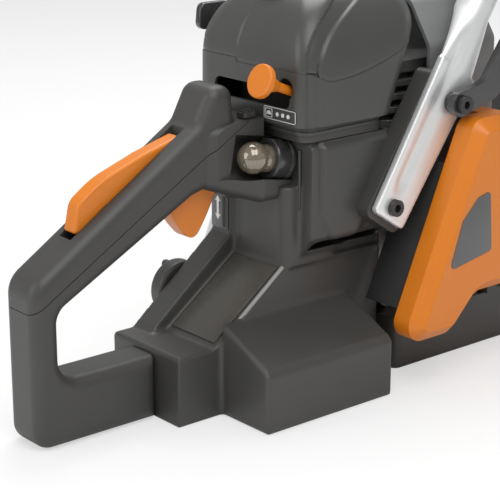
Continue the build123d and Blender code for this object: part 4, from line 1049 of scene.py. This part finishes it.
@dataclass
class FrontHandle:
    """Bent tube with a pressed, flattened leg and a valley along it."""

    shop: Paintshop
    frame: dict
    lower: tuple[float, float] = (-0.076, 0.116)
    angle: float = 56.5
    valley_depth: float = 0.0024
    valley_width: float = 0.0042
    valley_start: float = 0.012
    valley_full: float = 0.030
    valley_fade: float = 0.115
    valley_end: float = 0.148
    valley_middle: float = 0.0035
    valley_drift: float = 0.004
    facing: float = -0.4
    inner_limit: float = -0.066

    def relief(self, point: Vector, normal: Vector) -> Vector:
        """Sinks the valley into the outer face of the leg.

        Args:
            point: a point of the surface.
            normal: its normal.

        Returns:
            How far the point moves.
        """
        turn = math.radians(self.angle)
        dx, dz = point.x - self.lower[0], point.z - self.lower[1]
        along = dx * math.cos(turn) + dz * math.sin(turn)
        across = -dx * math.sin(turn) + dz * math.cos(turn)
        on_leg = 0.0 < along < self.valley_end and point.y <= self.inner_limit
        if normal.y > self.facing or not on_leg:
            return Vector()
        fade = step(along, self.valley_start, self.valley_full) * (
            1 - step(along, self.valley_fade, self.valley_end))
        middle = self.valley_middle + self.valley_drift * along / self.valley_end
        deep = self.valley_depth * math.exp(-((across - middle) / self.valley_width) ** 2)
        return Vector((0, deep * fade, 0))

    def build(self) -> None:
        """Makes the handle's skin."""
        skin = soft_copy(self.frame, "front_handle", 0.0011, 3, self.relief)
        self.shop.dress(skin, SILVER)


@dataclass
class TankHousing:
    """Soft moulding of the tank unit, with its flared side panel."""

    shop: Paintshop
    frame: dict
    inner_limit: float = -0.049
    low_limit: float = 0.09
    facing: float = -0.3
    panel_left: float = -0.118
    panel_top: float = 0.168
    panel_edge: float = 0.0014
    raise_by: float = 0.0024
    sink_by: float = 0.0034
    facet_width: float = 0.009
    crown_by: float = 0.0012
    crown_height: float = 0.065
    lip_low: float = 0.097
    lip_rise: float = 0.028
    lip_right: float = -0.055
    lip_length: float = 0.063
    lip_power: float = 7.6
    rib_places: Pair = (-0.1272, -0.1232)
    rib_half: float = 0.0009
    rib_y: float = -0.0495
    rib_span: Pair = (0.126, 0.166)
    rib_sweep: Point = (0, -0.0022, 0)
    facet_top: tuple[float, float] = (-0.0585, 0.168)
    facet_low: tuple[float, float] = (-0.0835, 0.120)

    def lip(self, x: float) -> float:
        """Height of the panel's lower lip, which rises steeply towards its left edge.

        Args:
            x: plan position forward.

        Returns:
            The lip's height.
        """
        share = max(0.0, (self.lip_right - x) / self.lip_length)
        return self.lip_low + self.lip_rise * share ** self.lip_power

    def relief(self, point: Vector, normal: Vector) -> Vector:
        """Raises the panel, and sinks the facet before the bracket and the band on top.

        Args:
            point: a point of the surface.
            normal: its normal.

        Returns:
            How far the point moves.
        """
        if normal.y > self.facing or point.y > self.inner_limit or point.z < self.low_limit:
            return Vector()
        lip, edge = self.lip(point.x), self.panel_edge
        inside = step(point.x, self.panel_left - edge, self.panel_left + 0.0010) * step(
            point.z, lip - edge, lip + 0.0008)
        fx, fz = self.facet_low
        gx, gz = self.facet_top[0] - fx, self.facet_top[1] - fz
        reach = math.hypot(gx, gz)
        past = ((point.x - fx) * gz - (point.z - fz) * gx) / reach
        shift = -self.raise_by * inside + self.sink_by * step(past, -0.0004, self.facet_width)
        shift += self.sink_by * step(point.z, self.panel_top, self.panel_top + 0.0022)
        height = min(1.0, max(0.0, (point.z - lip) / self.crown_height))
        crown = self.crown_by * math.sin(math.pi * height)
        return Vector((0, shift - crown * inside, 0))

    def build(self) -> None:
        """Makes the housing's skin and the two ribs by the collar."""
        skin = soft_copy(self.frame, "tank_housing", 0.0015, 4, self.relief)
        self.shop.dress(skin, BLACK)
        for k, x in enumerate(self.rib_places):
            outline = corners((x - self.rib_half, self.rib_span[0]),
                              (x + self.rib_half, self.rib_span[1]))
            rib = prism(f"collar_rib_{k + 1}", at_y(self.rib_y, outline), self.rib_sweep,
                        0.0008, 3)
            self.shop.fit(rib, BLACK, "black_plastic")


@dataclass
class ChainShadeSheet:
    """Black plate that closes the clutch cover's rear opening: painted shade, hiding the bright chain
    where there is only shadow inside.
    """

    shop: Paintshop
    outline: tuple[Pair, ...] = (
        (-0.0672, 0.0540), (-0.0262, 0.1475), (-0.0248, 0.1469), (-0.0658, 0.0534))
    outer: float = -0.0835
    inner: float = -0.0520

    def build(self) -> None:
        """Makes the plate of painted shade."""
        plate = prism("chain_shade_sheet", at_y(self.outer, self.outline),
                      (0, self.inner - self.outer, 0), 0.0004, 2)
        # The dark rubber finish stands in for the shadow inside the opening.
        self.shop.fit(plate, RUBBER, "rubber")


@dataclass
class StarterRope:
    """Rope between the starter housing and its grip, as a fixed twisted mesh; the real rope runs out as
    the grip is pulled.
    """

    shop: Paintshop
    x: float = -0.0285
    y: float = 0.076
    bottom: float = 0.098
    top: float = 0.1744
    radius: float = 0.00175
    strands: int = 3
    twist: float = 700.0
    groove: float = 0.14
    blend_from: float = 0.160
    rows: int = 60
    around: int = 24

    def build(self) -> None:
        """Makes the twisted rope."""
        rows, around = self.rows, self.around
        points = []
        for r in range(rows + 1):
            z = self.bottom + (self.top - self.bottom) * r / rows
            for k in range(around):
                turn = math.tau * k / around
                phase = self.strands * (turn - self.twist * z) / 2
                bulge = 1 - self.groove * abs(math.sin(phase))
                points.append((self.x + self.radius * bulge * math.cos(turn),
                               self.y + self.radius * bulge * math.sin(turn), z))
        faces = grid_faces(rows + 1, around, True)
        faces += [tuple(range(around)), tuple(range(rows * around, (rows + 1) * around))]
        rope = mesh_object("starter_rope_twist", points, faces, True)
        self.shop.dress(rope, ROPE)
        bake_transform(rope)
        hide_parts("starter_rope")


@dataclass
class SawChain:
    """Chain of side links, drive links, rivets and cutters round the bar."""

    shop: Paintshop
    height: float = 0.098
    plane: float = -0.074
    circles: tuple[Pair, ...] = (
        (0.0, 0.0205), (0.075, 0.0265), (0.270, 0.029), (0.487, 0.025))
    lift: float = 0.0004
    link_pitch: float = 0.00952
    link_height: float = 0.0052
    cutter_height: float = 0.0070
    link_share: float = 0.47
    plate: float = 0.0013
    half_width: float = 0.0033
    rivet_radius: float = 0.0011
    rivet_height: float = 0.0026
    cutter_every: int = 8
    turns: int = 720
    points: list[Vector] = field(default_factory=list)
    faces: list[tuple[int, ...]] = field(default_factory=list)

    def path(self) -> list[Vector]:
        """The bar's outline as a closed run of points (x, height) about its centre line."""
        points: list[Vector] = []
        for turn in range(self.turns):
            angle = math.tau * turn / self.turns
            way = Vector((math.cos(angle), math.sin(angle)))
            reach = max(self.circles, key=lambda c: c[0] * way.x + c[1])
            points.append(Vector((reach[0], 0)) + way * (reach[1] + self.lift))
        return points

    def stations(self) -> list[tuple[Vector, Vector]]:
        """Place and direction at every pitch round the path."""
        points = self.path()
        lengths = [(points[(k + 1) % len(points)] - q).length for k, q in enumerate(points)]
        count = 2 * round(sum(lengths) / self.link_pitch / 2)
        pitch = sum(lengths) / count
        out, travelled, target = [], 0.0, pitch / 2
        for k, length in enumerate(lengths):
            here, ahead = points[k], points[(k + 1) % len(points)]
            while length > 0 and target <= travelled + length and len(out) < count:
                share = (target - travelled) / length
                out.append((here.lerp(ahead, share), (ahead - here).normalized()))
                target += pitch
            travelled += length
        return out

    def build(self) -> None:
        """Makes all links in one mesh: a drive link after each pair of side links."""
        half = self.link_pitch * self.link_share
        drive = [(-half, 0.0), (half, 0.0), (half, 0.0036), (half * 0.5, 0.0046),
                 (-half * 0.5, 0.0046), (-half, 0.0036)]
        tie = [(-half, 0.0006), (half, 0.0006), (half, 0.0040), (half * 0.6, self.link_height),
               (-half * 0.6, self.link_height), (-half, 0.0040)]
        cutter = [(-half, 0.0006), (half, 0.0006), (half, 0.0052), (half * 0.45, 0.0058),
                  (half * 0.3, 0.0034), (-half * 0.1, 0.0036), (-half * 0.15, 0.0066),
                  (-half, self.cutter_height)]
        for k, station in enumerate(self.stations()):
            if k % 2:
                self.link(station, 0.0, self.plate / 2, drive)
                continue
            for hand, turn in ((-1, self.cutter_every // 2), (1, 0)):
                middle = hand * (self.half_width - self.plate / 2)
                shape = cutter if k % self.cutter_every == turn else tie
                self.link(station, middle, self.plate / 2, shape)
                for end in (-0.5, 0.5):
                    rivet = circle((end * half * 1.2, self.rivet_height), self.rivet_radius, 10)
                    self.link(station, middle, self.plate / 2 + 0.0001, rivet)
        chain = mesh_object("chain_links", self.points, self.faces)
        self.shop.fit(chain, STEEL, "steel")
        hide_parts("saw_chain")

    def link(self, station: tuple[Vector, Vector], middle: float, half: float,
             shape: Sequence[Pair]) -> None:
        """Adds one flat link plate to the mesh.

        Args:
            station: its place on the bar's edge and its direction of travel.
            middle: its sideways place.
            half: half its thickness.
            shape: its outline as (along, outward) pairs.
        """
        place, way = station
        out = Vector((way.y, -way.x))
        first, count = len(self.points), len(shape)
        for side in (-half, half):
            for along, up in shape:
                flat = place + way * along + out * up
                self.points.append(
                    Vector((flat.x, self.plane + middle + side, self.height + flat.y)))
        self.faces.append(tuple(range(first, first + count)))
        self.faces.append(tuple(range(first + count, first + 2 * count)))
        self.faces += [(first + k, first + (k + 1) % count, first + count + (k + 1) % count,
                        first + count + k) for k in range(count)]
# Pale grey for a painted highlight: light catching the sharp edge of the trough's black wall.


@dataclass
class Trim:
    """Flat pieces that finish the clutch cover, the trough and its end wall."""

    shop: Paintshop
    panel: tuple[Pair, ...] = (
        (-0.043, 0.081), (-0.032, 0.113), (-0.018, 0.127), (-0.006, 0.130), (-0.003, 0.088))
    panel_face: float = -0.1060
    # Ends and half width of the painted highlight strip on the trough's outer edge.
    highlight_top: Point = (-0.1380, -0.0475, 0.0885)
    highlight_low: Point = (-0.1815, -0.0460, 0.0533)
    highlight_half: float = 0.0011
    floor_low: Pair = (-0.1930, 0.0484)
    floor_high: Pair = (-0.1400, 0.0877)
    floor_sides: Pair = (-0.0440, 0.0005)
    wall_face: float = -0.1422
    wall_outline: tuple[Pair, Pair] = ((0.0035, 0.1035), (0.0205, 0.1300))
    arrow_middle: Pair = (0.0135, 0.1175)
    arrow_outline: tuple[Pair, ...] = (
        (0.0, 0.0085), (0.0030, 0.0045), (0.0011, 0.0045), (0.0011, -0.0045),
        (0.0030, -0.0045), (0.0, -0.0085), (-0.0030, -0.0045), (-0.0011, -0.0045),
        (-0.0011, 0.0045), (-0.0030, 0.0045))
    rib_first: float = 0.0048
    rib_pitch: float = 0.0016
    rib_width: float = 0.0006
    rib_span: Pair = (0.105, 0.1285)

    def build(self) -> None:
        """Makes the panel, the painted edge highlight, the trough's floor and the wall's plate."""
        outline = rounded(self.panel, 0.003, 5)
        plate = prism("cover_panel", at_y(self.panel_face + 0.0002, outline), (0, -0.0007, 0),
                      0.0002, 2)
        self.shop.fit(plate, PANEL_GREY, "grey_plastic")
        self.edge_highlight_strip()
        self.trough_floor()
        self.wall_plate()

    def edge_highlight_strip(self) -> None:
        """Bright strip along the trough's outer edge: a painted highlight of light catching the black
        wall's sharp edge.
        """
        top, low = Vector(self.highlight_top), Vector(self.highlight_low)
        across = Vector((0, self.highlight_half, 0))
        up = (top - low).cross(Vector((0, 1, 0))).normalized() * self.highlight_half
        up = up if up.z > 0 else -up
        low, top = low + up * 1.2 - across * 0.6, top + up * 1.2 - across * 0.6
        edge_highlight_strip = prism("trough_edge_highlight", [low - across - up, low + across - up, low + across + up,
                                     low - across + up], top - low, 0.0005, 3)
        # The pale finish paints the highlight of light along the edge.
        self.shop.fit(edge_highlight_strip, PAINTED_EDGE_HIGHLIGHT, "black_plastic")

    def trough_floor(self) -> None:
        """Smoother, lighter strip on the sloping floor of the trough."""
        (x0, z0), (x1, z1), (y0, y1) = self.floor_low, self.floor_high, self.floor_sides
        floor = prism("trough_floor", [(x0, y0, z0), (x0, y1, z0), (x1, y1, z1), (x1, y0, z1)],
                      (-0.0004, 0, 0.0006), 0.0002, 2)
        self.shop.fit(floor, FLOOR_BROWN, "black_plastic")

    def wall_plate(self) -> None:
        """Plate with upright ribs and a plain double arrow on the trough's end wall."""
        outline = rounded(corners(*self.wall_outline), 0.0012, 4)
        plate = prism("wall_plate", at_x(self.wall_face, outline), (-0.0005, 0, 0), 0.0002, 2)
        self.shop.fit(plate, PANEL_GREY, "grey_plastic")
        arrow = [(self.arrow_middle[0] + a, self.arrow_middle[1] + b)
                 for a, b in self.arrow_outline]
        add_print(self.shop, "wall_arrow", at_x(self.wall_face - 0.0005, arrow),
                  (-0.0003, 0, 0), WHITE_PRINT)
        for k in range(3):
            y = self.rib_first + self.rib_pitch * k
            rib = corners((y, self.rib_span[0]), (y + self.rib_width, self.rib_span[1]))
            add_print(self.shop, f"wall_rib_{k + 1}", at_x(self.wall_face - 0.0004, rib),
                      (-0.0006, 0, 0), BLACK)


def main() -> None:
    """Builds the studio and dresses the saw."""
    logging.basicConfig(level=logging.INFO)
    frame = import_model()
    shop = Paintshop()
    Studio().build()
    shop.dress_nodes(frame)
    for part in (FilterCover(shop), FrontHandle(shop, frame), TankHousing(shop, frame),
                 ChainShadeSheet(shop), StarterRope(shop), SawChain(shop), Trim(shop)):
        part.build()
        LOG.info("built %s", type(part).__name__)


if __name__ == "__main__":
    main()
